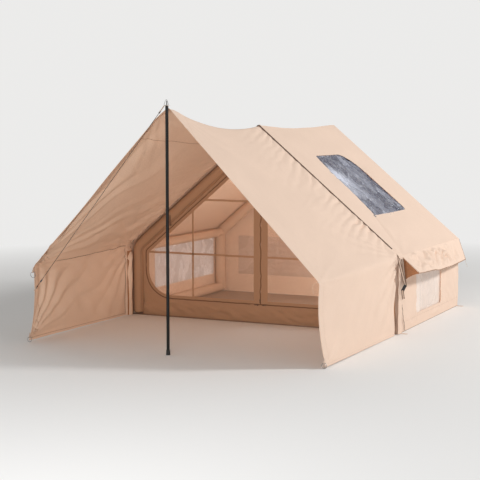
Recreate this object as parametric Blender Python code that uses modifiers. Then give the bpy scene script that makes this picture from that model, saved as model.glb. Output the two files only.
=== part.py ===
# An inflatable cabin tent with a zipped-on front canopy, its pole and its guy rope.
# Metres, +Z up, +X to the right. The canopy end faces -Y.
# The origin is the middle of the floor's underside, on the ground.

import math

import bmesh
import bpy
from mathutils import Matrix, Vector

for old in list(bpy.data.objects):
    bpy.data.objects.remove(old, do_unlink=True)

# Sleeping body
half_width = 1.5
body_depth = 2.1
eave_height = 0.76
ridge_height = 2.02
roof_sag = 0.03
roof_rows = 14
cloth = 0.004
film = 0.002
mesh_cloth = 0.0015
floor_cloth = 0.004
seat_gap = 0.0003
film_gap = 0.0006
cut_overrun = 0.05

# Air beams and their valve
arch_beam_diameter = 0.12
eave_beam_diameter = 0.1
floor_beam_diameter = 0.11
beam_bend_radius = 0.16
bend_steps = 6
valve_height = 0.25
valve_flange_radius = 0.032
valve_flange_thickness = 0.006
valve_neck_radius = 0.019
valve_neck_length = 0.016
valve_cap_radius = 0.025
valve_cap_top = 0.004

# Doorway and its two leaves
door_margin = 0.03
door_sill_height = 0.185
door_corner_radius = 0.3
door_eave_radius = 0.05
door_zip_gap = 0.003
door_band = 0.034
door_centre_band = 0.078
door_centre_gap = 0.0036
ribbon_width = 0.02
ribbon_places = (0.78,)
ribbon_heights = (0.675, 1.245)

# Windows, measured on their walls
window_bottom = 0.24
window_top = 0.665
window_corner_radius = 0.03
window_overlap = 0.018
left_window_front_margin = 0.54
left_window_rear_margin = 0.15
right_window_front_margin = 0.55
right_window_rear_margin = 0.69
rear_window_side_margin = 0.3
skylight_top = 0.46
skylight_bottom = 1.4
skylight_top_front_margin = 0.66
skylight_bottom_front_margin = 0.5
skylight_rear_margin = 0.59
skylight_corner_radius = 0.04

# Window hoods, one along each eave
hood_width = 0.25
hood_front_angle = math.radians(50)
hood_rear_angle = math.radians(20)
hood_bow = 0.02
hood_fold_depth = 0.012
hood_folds = 3
hood_tie_length = 0.08
hood_tie_radius = 0.0016
hood_tie_inset = 0.02
hood_tie_lean = 0.02

# Canopy
canopy_depth = 1.914
peak_rise = 0.18
peak_setback = 0.02
canopy_ridge_sag = 0.095
fold_front_inset = 0.07
fold_front_drop = 0.035
fold_sag = 0.015
wing_tip_inset = 0.01
wing_tip_height = 0.04
wing_foot_height = 0.006
wing_pleat_width = 0.12
wing_pleat_depth = 0.045
wing_hollow = 0.035
wing_fold_depth = 0.022
wing_folds = 3.5
wing_fold_start_share = 0.3
wing_pleat_share = 0.2
wing_pleat_rows = 4
wing_rows = 20

# Zip bands and sliders
zip_band_width = 0.04
zip_band_thickness = 0.003
slider_length = 0.016
slider_width = 0.01
slider_height = 0.005
puller_length = 0.03
puller_width = 0.007
puller_thickness = 0.002
slider_rise = 0.05
slider_start = 0.03

# Pole
pole_radius = 0.014
pole_wall = 0.0012
pole_lower_length = 1.1
pole_spigot_length = 0.09
pole_foot_radius = 0.019
pole_foot_height = 0.045
pole_foot_base = 0.006
pole_foot_lip = 0.003
spike_radius = 0.004
spike_length = 0.045
pole_sides = 20

# Peak fittings
tab_thickness = 0.003
peak_tab_half_width = 0.024
peak_tab_front = 0.024
peak_eyelet_radius = 0.0055
wire_radius = 0.002
peak_ring_width = 0.05
peak_ring_height = 0.06
peak_ring_corner = 0.007
peak_ring_forward = 0.0085
guy_strap_length = 0.07
guy_strap_width = 0.018
guy_strap_hole_radius = 0.005
guy_strap_hole_share = 0.85

# Guy rope: the middle of its tie on the left wing, and its own sizes
rope_radius = 0.0022
rope_end_height = 0.49
rope_forward = 0.012
rope_points = 30
guy_loop_length = 0.05
guy_loop_width = 0.024
guy_loop_hole_radius = 0.007
guy_loop_hole_share = 0.3
runner_length = 0.03
runner_width = 0.02
runner_thickness = 0.006
runner_hole_clearance = 0.0006
runner_place = 0.075

# Ground and corner rings
ring_radius = 0.0225
ring_wire_radius = 0.0025
ring_clearance = 0.001
ring_tab_width = 0.026
ring_tab_rise = 0.055
ring_tab_margin = 0.008
ring_hole_radius = 0.003
corner_ring_radius = 0.027
corner_cord_curl = 0.055
corner_cord_turn = math.radians(135)
corner_cord_forward = 0.032
corner_cord_drop = 0.094
corner_cord_points = 15
corner_cord_radius = 0.0016
peg_loop_length = 0.075
peg_loop_width = 0.03
peg_hole_length = 0.034
peg_hole_width = 0.014
peg_loop_inset = 0.035

# Door ties
toggle_inset = 0.48
toggle_strap_length = 0.105
toggle_strap_width = 0.012
toggle_strap_thickness = 0.002
toggle_barrel_length = 0.03
toggle_barrel_radius = 0.005

# Worked out from the sizes above
front_y = -body_depth / 2
rear_y = body_depth / 2
roof_slope = math.atan2(ridge_height - eave_height, half_width)
beam_radius = arch_beam_diameter / 2
frame_offset = cloth + seat_gap + beam_radius
inner_offset = frame_offset + beam_radius + seat_gap
post_x = half_width - frame_offset
floor_top = floor_cloth + seat_gap
front_arch_y = front_y + beam_radius
rear_arch_y = rear_y - cloth - seat_gap - beam_radius
bay_front = front_arch_y + beam_radius + seat_gap
bay_rear = rear_arch_y - beam_radius - seat_gap
pole_y = front_y - canopy_depth
canopy_front_y = pole_y + peak_setback
door_offset = inner_offset + door_margin
hood_x = half_width + cloth / 2 + seat_gap
hood_front_y = front_y + zip_band_width + seat_gap
hood_length = rear_y - hood_front_y
peak_height = ridge_height + peak_rise
fold_front_half_width = half_width - fold_front_inset
fold_front_height = eave_height - fold_front_drop
wing_tip_half_width = half_width - wing_tip_inset
toggle_place = half_width - toggle_inset
inner_bend = beam_bend_radius - beam_radius - seat_gap
door_ridge_radius = inner_bend - door_margin
left_window_front = front_y + left_window_front_margin
left_window_rear = rear_y - left_window_rear_margin
right_window_front = front_y + right_window_front_margin
right_window_rear = rear_y - right_window_rear_margin
rear_window_half_width = half_width - rear_window_side_margin
skylight_top_front = front_y + skylight_top_front_margin
skylight_bottom_front = front_y + skylight_bottom_front_margin
skylight_rear = rear_y - skylight_rear_margin

parts = bpy.data.collections.new('inflatable_tent')
cutters = bpy.data.collections.new('cutters')
bpy.context.scene.collection.children.link(parts)
bpy.context.scene.collection.children.link(cutters)


def material(name, colour, roughness, metallic=0.0, alpha=1.0):
    made = bpy.data.materials.new(name)
    made.use_nodes = True
    shader = made.node_tree.nodes['Principled BSDF']
    shader.inputs['Base Color'].default_value = (*colour, 1)
    shader.inputs['Roughness'].default_value = roughness
    shader.inputs['Metallic'].default_value = metallic
    shader.inputs['Alpha'].default_value = alpha
    made.diffuse_color = (*colour, alpha)
    return made


def finish_set():
    return {
        'canvas': ((0.78, 0.61, 0.48), 0.85),
        'canopy_canvas': ((0.82, 0.65, 0.52), 0.85),
        'sleeve_canvas': ((0.7, 0.53, 0.4), 0.8),
        'floor_sheet': ((0.3, 0.27, 0.25), 0.6),
        'clear_film': ((0.72, 0.72, 0.76), 0.15),
        'door_mesh': ((0.55, 0.42, 0.33), 0.9),
        'webbing': ((0.76, 0.6, 0.4), 0.85),
        'zip': ((0.12, 0.08, 0.06), 0.5),
        'cord': ((0.24, 0.15, 0.1), 0.8),
        'black_steel': ((0.02, 0.02, 0.022), 0.35, 0.8),
        'bright_steel': ((0.72, 0.72, 0.74), 0.25, 1.0),
        'rubber': ((0.03, 0.03, 0.03), 0.7),
        'plastic': ((0.1, 0.1, 0.1), 0.5),
    }


def add_part(name, data, finish):
    made = bpy.data.objects.new(name, data)
    parts.objects.link(made)
    values = finish_set()[finish]
    data.materials.append(material(name + '_' + finish, *values))
    return made


def empty_at(name, place):
    made = bpy.data.objects.new(name, None)
    made.empty_display_size = beam_radius
    made.location = place
    parts.objects.link(made)
    return made


def carry(parent, *children):
    for child in children:
        child.parent = parent
        child.matrix_parent_inverse = Matrix.Translation(-parent.location)


def arc_points(before, corner, after, radius, steps):
    back = (before - corner).normalized()
    ahead = (after - corner).normalized()
    half_angle = back.angle(ahead) / 2
    centre = corner + (back + ahead).normalized() * (radius / math.sin(half_angle))
    reach = radius / math.tan(half_angle)
    start = corner + back * reach - centre
    end = corner + ahead * reach - centre
    sweep = start.angle(end)
    points = []
    for step in range(steps + 1):
        share = step / steps
        weight_start = math.sin((1 - share) * sweep) / math.sin(sweep)
        weight_end = math.sin(share * sweep) / math.sin(sweep)
        points.append(centre + start * weight_start + end * weight_end)
    return points


def rounded_path(corners, radii, steps=5, closed=False):
    corners = [Vector(corner) for corner in corners]
    count = len(corners)
    points = []
    for index, (corner, radius) in enumerate(zip(corners, radii)):
        ends = not closed and index in (0, count - 1)
        if ends or radius == 0:
            points.append(corner)
            continue
        before = corners[index - 1]
        after = corners[(index + 1) % count]
        points.extend(arc_points(before, corner, after, radius, steps))
    return points


def tube_curve(name, points, radius, resolution=4, closed=False):
    curve = bpy.data.curves.new(name, 'CURVE')
    curve.dimensions = '3D'
    curve.bevel_depth = radius
    curve.bevel_resolution = resolution
    curve.use_fill_caps = True
    spline = curve.splines.new('POLY')
    spline.points.add(len(points) - 1)
    for point, place in zip(spline.points, points):
        point.co = (*place, 1)
    spline.use_cyclic_u = closed
    return curve


def tube(name, points, radius, finish, resolution=4, closed=False):
    return add_part(name, tube_curve(name, points, radius, resolution, closed), finish)


def outline_curve(name, outlines, thickness):
    curve = bpy.data.curves.new(name, 'CURVE')
    curve.dimensions = '2D'
    curve.fill_mode = 'BOTH'
    curve.extrude = thickness / 2
    for outline in outlines:
        spline = curve.splines.new('POLY')
        spline.points.add(len(outline) - 1)
        for point, place in zip(spline.points, outline):
            point.co = (place[0], place[1], 0, 1)
        spline.use_cyclic_u = True
    return curve


across_turn = Matrix.Rotation(math.pi / 2, 4, 'X')
along_turn = Matrix.Rotation(math.pi / 2, 4, 'Z') @ across_turn


def panel_across(name, outlines, thickness, y, finish):
    """A flat panel whose outline is drawn in X and Z."""
    made = add_part(name, outline_curve(name, outlines, thickness), finish)
    made.matrix_world = Matrix.Translation((0, y, 0)) @ across_turn
    return made


def panel_along(name, outlines, thickness, x, finish):
    """A flat panel whose outline is drawn in Y and Z."""
    made = add_part(name, outline_curve(name, outlines, thickness), finish)
    made.matrix_world = Matrix.Translation((x, 0, 0)) @ along_turn
    return made


def panel_flat(name, outlines, thickness, z, finish):
    made = add_part(name, outline_curve(name, outlines, thickness), finish)
    made.location.z = z
    return made


def welded_mesh(source, name):
    """The evaluated shape of an object as a closed mesh, with loose caps joined."""
    bpy.context.view_layer.update()
    graph = bpy.context.evaluated_depsgraph_get()
    mesh = bpy.data.meshes.new_from_object(source.evaluated_get(graph))
    mesh.name = name
    work = bmesh.new()
    work.from_mesh(mesh)
    bmesh.ops.remove_doubles(work, verts=work.verts, dist=seat_gap / 10)
    bmesh.ops.recalc_face_normals(work, faces=work.faces)
    work.to_mesh(mesh)
    work.free()
    return mesh


def as_mesh(source):
    """Replaces a curve object by a mesh object of the same name and place."""
    name = source.name
    place = source.matrix_world.copy()
    mesh = welded_mesh(source, name)
    old_curve = source.data
    bpy.data.objects.remove(source, do_unlink=True)
    bpy.data.curves.remove(old_curve)
    made = bpy.data.objects.new(name, mesh)
    parts.objects.link(made)
    made.matrix_world = place
    return made


def as_cutter(source):
    made = as_mesh(source)
    parts.objects.unlink(made)
    cutters.objects.link(made)
    made.hide_render = True
    made.display_type = 'WIRE'
    return made


def cut(target, cutter, operation='DIFFERENCE'):
    change = target.modifiers.new(operation.lower(), 'BOOLEAN')
    change.operation = operation
    change.object = cutter
    return change


def cloth_sheet(name, columns, rows, place, thickness, finish):
    """A grid laid over a surface given by shares from 0 to 1, then thickened."""
    mesh = bpy.data.meshes.new(name)
    grid = bmesh.new()
    bmesh.ops.create_grid(grid, x_segments=columns, y_segments=rows, size=1)
    for vertex in grid.verts:
        vertex.co = place((vertex.co.x + 1) / 2, (vertex.co.y + 1) / 2)
    grid.to_mesh(mesh)
    grid.free()
    made = add_part(name, mesh, finish)
    solid = made.modifiers.new('thickness', 'SOLIDIFY')
    solid.thickness = thickness
    solid.offset = 0
    return made


def turned(name, profile, finish, sides=pole_sides):
    """A profile of (radius, height) points turned about Z; it runs down its outer side."""
    mesh = bpy.data.meshes.new(name)
    work = bmesh.new()
    corners = [work.verts.new((radius, 0, height)) for radius, height in profile]
    for first, second in zip(corners, corners[1:] + corners[:1]):
        if profile[corners.index(first)][0] == 0 and profile[corners.index(second)][0] == 0:
            continue
        work.edges.new((first, second))
    work.to_mesh(mesh)
    work.free()
    made = add_part(name, mesh, finish)
    screw = made.modifiers.new('turn', 'SCREW')
    screw.axis = 'Z'
    screw.steps = sides
    screw.render_steps = sides
    screw.use_merge_vertices = True
    screw.merge_threshold = seat_gap / 10
    return made


def smooth(target, angle=math.radians(40)):
    mesh = target.data
    mesh.shade_smooth()
    mesh.set_sharp_from_angle(angle=angle)


def box(name, size, place, finish):
    mesh = bpy.data.meshes.new(name)
    work = bmesh.new()
    bmesh.ops.create_cube(work, size=1)
    bmesh.ops.scale(work, vec=size, verts=work.verts)
    bmesh.ops.translate(work, vec=place, verts=work.verts)
    work.to_mesh(mesh)
    work.free()
    return add_part(name, mesh, finish)


def smooth_step(share):
    return share * share * (3 - 2 * share)


def swell(share):
    return 4 * share * (1 - share)


def roof_line(x, offset):
    """Height of the roof's outer face at x, moved inwards by offset."""
    rise = (half_width - abs(x)) * math.tan(roof_slope)
    return eave_height + rise - offset / math.cos(roof_slope)


def gable_outline(offset, bottom, bottom_radius, eave_radius, ridge_radius):
    """The tent's cross-section, moved inwards by offset, as a closed outline."""
    x = half_width - offset
    eave = roof_line(x, offset)
    corners = [(-x, bottom), (x, bottom), (x, eave), (0, roof_line(0, offset)), (-x, eave)]
    radii = [bottom_radius, bottom_radius, eave_radius, ridge_radius, eave_radius]
    return rounded_path(corners, radii, bend_steps, closed=True)


# Floor

def add_groundsheet():
    corners = [(-half_width, front_y), (half_width, front_y),
               (half_width, rear_y), (-half_width, rear_y)]
    panel_flat('groundsheet', [corners], floor_cloth, floor_cloth / 2, 'floor_sheet')


# Air beams

def arch_path(y):
    eave = roof_line(post_x, frame_offset)
    ridge = roof_line(0, frame_offset)
    corners = [(-post_x, y, floor_top), (-post_x, y, eave), (0, y, ridge),
               (post_x, y, eave), (post_x, y, floor_top)]
    return rounded_path(corners, [beam_bend_radius] * len(corners), bend_steps)


def add_arches():
    tube('front_arch_beam', arch_path(front_arch_y), beam_radius, 'sleeve_canvas')
    tube('rear_arch_beam', arch_path(rear_arch_y), beam_radius, 'sleeve_canvas')


def eave_bend_middle():
    """Where the middle of an arch's eave bend lies, on the right side."""
    eave = Vector((post_x, roof_line(post_x, frame_offset)))
    arc = arc_points(Vector((post_x, floor_top)), eave,
                     Vector((0, roof_line(0, frame_offset))), beam_bend_radius, 2)
    return arc[1]


def arch_cutter(name, y):
    path = arch_path(y)
    path[0] = path[0] - Vector((0, 0, cut_overrun))
    path[-1] = path[-1] - Vector((0, 0, cut_overrun))
    return as_cutter(tube(name, path, beam_radius + seat_gap, 'sleeve_canvas'))


def add_long_beams(front_cutter, rear_cutter):
    """Beams from arch to arch, with their ends hollowed to fit the arches."""
    eave = eave_bend_middle()
    floor_radius = floor_beam_diameter / 2
    eave_radius = eave_beam_diameter / 2
    for side, word in ((-1, 'left'), (1, 'right')):
        runs = ((word + '_eave_beam', eave.x, eave.y, eave_radius),
                (word + '_floor_beam', post_x, floor_top + floor_radius, floor_radius))
        for name, x, z, radius in runs:
            ends = [(side * x, front_arch_y, z), (side * x, rear_arch_y, z)]
            run = tube(name, ends, radius, 'sleeve_canvas')
            finish = run.data.materials[0]
            run = as_mesh(run)
            run.data.materials.clear()
            run.data.materials.append(finish)
            cut(run, front_cutter)
            cut(run, rear_cutter)
            smooth(run)


def add_valve(rear_cutter):
    """The filling valve on the right rear post, facing into the cabin."""
    stem_length = valve_flange_thickness + beam_radius / 2
    profile = [(0, valve_flange_thickness + valve_neck_length),
               (valve_neck_radius, valve_flange_thickness + valve_neck_length),
               (valve_neck_radius, valve_flange_thickness),
               (valve_flange_radius, valve_flange_thickness),
               (valve_flange_radius, valve_flange_thickness - stem_length),
               (0, valve_flange_thickness - stem_length)]
    face_x = post_x - beam_radius - seat_gap
    place = Vector((face_x, rear_arch_y, valve_height))
    turn = Matrix.Rotation(-math.pi / 2, 4, 'Y')
    body = turned('valve_body', profile, 'plastic')
    body.matrix_world = Matrix.Translation(place) @ turn
    cut(body, rear_cutter)
    smooth(body)

    mouth = valve_flange_thickness + seat_gap
    inner_radius = valve_neck_radius + seat_gap
    inner_top = valve_flange_thickness + valve_neck_length + seat_gap
    shell = [(0, inner_top + valve_cap_top), (valve_cap_radius, inner_top + valve_cap_top),
             (valve_cap_radius, mouth), (inner_radius, mouth), (inner_radius, inner_top),
             (0, inner_top)]
    cap = turned('valve_cap', shell, 'plastic')
    cap.matrix_world = Matrix.Translation(place) @ turn
    smooth(cap)
    hinge = empty_at('valve_cap_axis', place)
    carry(hinge, cap)


# Walls

def box_outline(low_x, high_x, low_z, high_z, radius):
    corners = [(low_x, low_z), (high_x, low_z), (high_x, high_z), (low_x, high_z)]
    return rounded_path(corners, [radius] * len(corners), steps=4, closed=True)


def add_side_walls():
    top = roof_line(half_width, cloth + seat_gap)
    outer = [(front_y, floor_top), (rear_y, floor_top), (rear_y, top), (front_y, top)]
    windows = ((-1, 'left', left_window_front, left_window_rear),
               (1, 'right', right_window_front, right_window_rear))
    for side, word, front, rear in windows:
        hole = box_outline(front, rear, window_bottom, window_top, window_corner_radius)
        panel_along(word + '_wall', [outer, hole], cloth, side * (half_width - cloth / 2), 'canvas')
        pane = box_outline(front - window_overlap, rear + window_overlap,
                           window_bottom - window_overlap, window_top + window_overlap,
                           window_corner_radius)
        pane_x = half_width - cloth - seat_gap - film / 2
        panel_along(word + '_window_film', [pane], film, side * pane_x, 'clear_film')


def add_rear_wall():
    outer = gable_outline(cloth + seat_gap, floor_top, 0, 0, 0)
    hole = box_outline(-rear_window_half_width, rear_window_half_width, window_bottom, window_top,
                       window_corner_radius)
    panel_across('rear_wall', [outer, hole], cloth, rear_y - cloth / 2, 'canvas')
    reach = rear_window_half_width + window_overlap
    pane = box_outline(-reach, reach, window_bottom - window_overlap, window_top + window_overlap,
                       window_corner_radius)
    panel_across('rear_window_film', [pane], film, rear_y - cloth - seat_gap - film / 2,
                 'clear_film')


def add_front_wall():
    outer = gable_outline(inner_offset, floor_top, 0, inner_bend, inner_bend)
    hole = gable_outline(door_offset, door_sill_height, door_corner_radius, door_eave_radius,
                         door_ridge_radius)
    panel_across('front_wall', [outer, hole], cloth, front_arch_y, 'sleeve_canvas')


def clip(outline, axis, limit, keep_above):
    """Keeps the part of a convex outline on one side of a line along X or Z."""
    kept = []
    for first, second in zip(outline, outline[1:] + outline[:1]):
        first_in = (first[axis] >= limit) == keep_above
        second_in = (second[axis] >= limit) == keep_above
        if first_in:
            kept.append(first)
        if first_in != second_in:
            share = (limit - first[axis]) / (second[axis] - first[axis])
            kept.append(Vector(first).lerp(Vector(second), share))
    return kept


def leaf_outline(side, offset, seam_offset, sill, centre, corner_radius, eave_radius,
                 ridge_radius):
    """Half of the doorway, from the centre zip to the side and up to the slanted seam."""
    x = half_width - offset
    eave = roof_line(x, seam_offset)
    corners = [(-x, sill), (x, sill), (x, eave), (0, roof_line(0, seam_offset)), (-x, eave)]
    radii = [corner_radius, corner_radius, eave_radius, ridge_radius, eave_radius]
    whole = rounded_path(corners, radii, bend_steps, closed=True)
    return clip(whole, 0, side * centre, side == 1)


def mesh_cells(side):
    """The see-through panes between the ribbons of one leaf."""
    inset = door_zip_gap + door_band
    pane = leaf_outline(side, door_offset + inset, door_offset + inset,
                        door_sill_height + inset, door_centre_band,
                        door_corner_radius - inset, max(door_eave_radius - inset, seat_gap),
                        max(door_ridge_radius - inset, seat_gap))
    half = ribbon_width / 2
    columns = [pane]
    for place in ribbon_places:
        left_part = clip(columns[-1], 0, side * place - half, False)
        right_part = clip(columns[-1], 0, side * place + half, True)
        columns[-1:] = [left_part, right_part]
    cells = []
    for column in columns:
        rest = column
        for height in ribbon_heights:
            low = clip(rest, 1, height - half, False)
            rest = clip(rest, 1, height + half, True)
            if len(low) > 2:
                cells.append(low)
        if len(rest) > 2:
            cells.append(rest)
    return cells


def add_door_leaves():
    """Each leaf turns about the slanted seam under its rafter."""
    corner = door_corner_radius - door_zip_gap
    eave_radius = door_eave_radius - door_zip_gap
    seam_offset = door_offset + seat_gap
    front_face = front_arch_y - cloth / 2
    for side, word in ((-1, 'left'), (1, 'right')):
        outer = leaf_outline(side, door_offset + door_zip_gap, seam_offset,
                             door_sill_height + door_zip_gap, door_centre_gap, corner,
                             eave_radius, door_ridge_radius - seat_gap)
        frame = panel_across(word + '_door_frame', [outer] + mesh_cells(side), cloth,
                             front_arch_y, 'sleeve_canvas')
        mesh_y = front_arch_y + cloth / 2 + seat_gap + mesh_cloth / 2
        mesh = panel_across(word + '_door_mesh', [outer], mesh_cloth, mesh_y, 'door_mesh')
        hinge = empty_at(word + '_door_hinge', (0, front_face, roof_line(0, seam_offset)))
        carry(hinge, frame, mesh)


def add_roof_panels():
    edge = cloth / 2 * math.sin(roof_slope)
    ridge_x = edge + seat_gap
    eave_x = half_width - edge

    def roof_point(side, down, y, offset):
        x = ridge_x + (eave_x - ridge_x) * down
        span = min(max((y - bay_front) / (bay_rear - bay_front), 0), 1)
        sag = roof_sag * swell(span) * (1 - down)
        return Vector((side * x, y, roof_line(x, offset) - sag))

    def bay_y(along):
        """One row of the grid lies over each arch and the rest span the bay between them."""
        edge_share = 1 / roof_rows
        if along < edge_share:
            return front_y + (bay_front - front_y) * along / edge_share
        if along > 1 - edge_share:
            return rear_y - (rear_y - bay_rear) * (1 - along) / edge_share
        return bay_front + (bay_rear - bay_front) * (along - edge_share) / (1 - 2 * edge_share)

    for side, word in ((-1, 'left'), (1, 'right')):
        panel = cloth_sheet(word + '_roof_panel', 6, roof_rows, lambda down, along: roof_point(
            side, down, bay_y(along), cloth / 2), cloth, 'canvas')
    skylight = [(skylight_top_front, skylight_top), (skylight_rear, skylight_top),
                (skylight_rear, skylight_bottom), (skylight_bottom_front, skylight_bottom)]
    hole = rounded_path(skylight, [skylight_corner_radius] * 4, steps=4, closed=True)
    cutter = add_part('skylight_cutter', outline_curve('skylight_cutter', [hole], cut_overrun * 2),
                      'canvas')
    down_axis = Vector((math.cos(roof_slope), 0, -math.sin(roof_slope)))
    along_axis = Vector((0, 1, 0))
    slope_frame = Matrix((along_axis, down_axis, along_axis.cross(down_axis))).transposed()
    cutter.matrix_world = Matrix.Translation((0, 0, ridge_height)) @ slope_frame.to_4x4()
    cut(panel, as_cutter(cutter))

    rafter = half_width / math.cos(roof_slope)
    film_offset = cloth + film_gap + film / 2

    def film_point(down, along):
        low = (skylight_top - window_overlap) / rafter
        high = (skylight_bottom + window_overlap) / rafter
        front = skylight_bottom_front - window_overlap
        rear = skylight_rear + window_overlap
        return roof_point(1, low + (high - low) * down, front + (rear - front) * along, film_offset)

    cloth_sheet('skylight_film', 4, 8, film_point, film, 'clear_film')


def add_zip_bands():
    """The flap that covers the canopy's zip, up each front corner and along the rafter."""
    inner = -seat_gap
    outer = -seat_gap - zip_band_thickness
    for side, word in ((-1, 'left'), (1, 'right')):
        corners = []
        for offset in (inner, outer):
            x = half_width - offset
            line = [(side * x, floor_cloth / 2), (side * x, roof_line(x, offset)),
                    (side * seat_gap, roof_line(seat_gap, offset))]
            corners += line if offset == inner else line[::-1]
        panel_across(word + '_zip_band', [corners], zip_band_width, front_y + zip_band_width / 2,
                     'canvas')


# Window hoods

def hood_angle(along):
    return hood_front_angle + (hood_rear_angle - hood_front_angle) * smooth_step(along)


def hood_point(side, out, along):
    angle = hood_angle(along)
    reach = hood_width * out
    drop = hood_bow * swell(along) * out
    fold = hood_fold_depth * math.sin(2 * math.pi * (hood_folds * along + out / 2)) * swell(along)
    x = hood_x + reach * math.sin(angle) + fold * out * math.cos(angle)
    z = eave_height - reach * math.cos(angle) - drop + fold * out * math.sin(angle)
    return Vector((side * x, hood_front_y + hood_length * along, z))


def tie_path(start, side, length):
    """A short tie cord that hangs from a hem."""
    points = []
    count = 9
    for index in range(count + 1):
        share = index / count
        lean = hood_tie_lean * math.sin(math.pi * share / 2) * share
        points.append(start + Vector((side * lean, lean / 2, -length * share)))
    return points


def add_hoods():
    for side, word in ((-1, 'left'), (1, 'right')):
        hood = cloth_sheet(word + '_window_hood', 6, 24, lambda out, along: hood_point(
            side, out, along), cloth, 'canvas')
        hinge = empty_at(word + '_hood_hinge', (side * hood_x, 0, eave_height))
        carry(hinge, hood)
        if side == 1:
            share = hood_tie_inset / hood_length
            for end, along in (('front', share), ('rear', 1 - share)):
                hem = hood_point(side, 1, along)
                hem.z -= cloth / 2 * math.sin(hood_angle(along)) + seat_gap
                tie = tube(word + '_hood_' + end + '_tie', tie_path(hem, side, hood_tie_length),
                           hood_tie_radius, 'cord', resolution=2)
                carry(hinge, tie)


# Canopy

def canopy_ridge(forward):
    root = Vector((0, front_y - seat_gap, ridge_height - cloth / 2))
    peak = Vector((0, canopy_front_y, peak_height - cloth / 2))
    place = root.lerp(peak, forward)
    place.z -= canopy_ridge_sag * swell(forward)
    return place


def canopy_fold(side, forward):
    root = Vector((side * half_width, front_y - seat_gap, eave_height))
    front = Vector((side * fold_front_half_width, canopy_front_y, fold_front_height))
    place = root.lerp(front, forward)
    place.z -= fold_sag * swell(forward)
    return place


def canopy_roof_point(side, across, forward):
    ridge = canopy_ridge(forward)
    ridge.x = side * (cloth / 2 + seat_gap)
    return ridge.lerp(canopy_fold(side, forward), across)


def wing_fold(down, forward):
    """Folds that fan out from the wing's rear top corner and fade towards its front edge."""
    turn = math.atan2(down, forward) / (math.pi / 2)
    reach = math.hypot(down, forward)
    grow = smooth_step(min(reach / wing_fold_start_share, 1))
    return math.sin(2 * math.pi * wing_folds * turn) * swell(turn) * grow * (1 - forward)


def wing_forward(along):
    """The wing's first rows lie in its rear pleat and the rest run on to its front edge."""
    pleat = wing_pleat_width / canopy_depth
    pleat_end = wing_pleat_rows / wing_rows
    if along < pleat_end:
        return pleat * along / pleat_end
    return pleat + (1 - pleat) * (along - pleat_end) / (1 - pleat_end)


def wing_point(side, down, forward):
    """The side wing hangs from the fold, dips in a pleat beside the arch and is pegged in front."""
    top = canopy_fold(side, forward)
    top.z -= cloth / 2 + seat_gap
    tip = Vector((side * wing_tip_half_width, canopy_front_y, wing_tip_height))
    foot = Vector((side * half_width, front_y - seat_gap, wing_foot_height))
    bottom = foot.lerp(tip, forward)
    place = top.lerp(bottom, down)
    place.y -= cloth / 2 * (1 - forward)
    place.x -= side * wing_hollow * swell(down) * forward
    pleat = swell(min(forward * canopy_depth / wing_pleat_width, 1))
    place.x -= side * wing_pleat_depth * pleat * smooth_step(min(down / wing_pleat_share, 1))
    place.x -= side * wing_fold_depth * wing_fold(down, forward)
    return place


def add_canopy():
    for side, word in ((-1, 'left'), (1, 'right')):
        cloth_sheet(word + '_canopy_roof', 10, 12, lambda across, forward: canopy_roof_point(
            side, across, forward), cloth, 'canopy_canvas')
        cloth_sheet(word + '_canopy_wing', 12, wing_rows, lambda down, along: wing_point(
            side, down, wing_forward(along)), cloth, 'canopy_canvas')


# Zip sliders

def slider(name, place, run, out, mirror=1):
    """A slider body with its puller: run is along the zip and out is away from the cloth."""
    run = Vector(run).normalized()
    out = Vector(out).normalized()
    body = box(name, (slider_length, slider_width, slider_height), (0, 0, slider_height / 2),
               'zip')
    reach = slider_length / 2 + puller_length / 2 - puller_thickness
    pull = box(name + '_puller', (puller_length, puller_width, puller_thickness),
               (reach * mirror, 0, slider_height - puller_thickness / 2), 'zip')
    parts.objects.unlink(pull)
    cutters.objects.link(pull)
    pull.hide_render = True
    pull.display_type = 'WIRE'
    turn = Matrix((run, out.cross(run), out)).transposed().to_4x4()
    for piece in (body, pull):
        piece.matrix_world = Matrix.Translation(place) @ turn
    cut(body, pull, 'UNION')
    return body


def add_sliders():
    face = front_arch_y - cloth / 2 - seat_gap
    half = slider_width / 2
    centre = (-half - seat_gap * 2, face, door_sill_height + slider_rise)
    body = slider('door_zip_slider', centre, (0, 0, 1), (0, -1, 0), mirror=-1)
    carry(bpy.data.objects['left_door_hinge'], body)
    for side, word in ((-1, 'left'), (1, 'right')):
        place = (side * slider_start, face, door_sill_height - half)
        slider(word + '_sill_zip_slider', place, (side, 0, 0), (0, -1, 0))
        up = Vector((-side * math.cos(roof_slope), 0, math.sin(roof_slope)))
        outward = Vector((side * math.sin(roof_slope), 0, math.cos(roof_slope)))
        edge = Vector((side * half_width, front_y + zip_band_width / 2, eave_height))
        place = edge + up * slider_rise + outward * (zip_band_thickness + seat_gap * 2)
        slider(word + '_canopy_zip_slider', place, up, outward, mirror=-1)


# Pole

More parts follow.
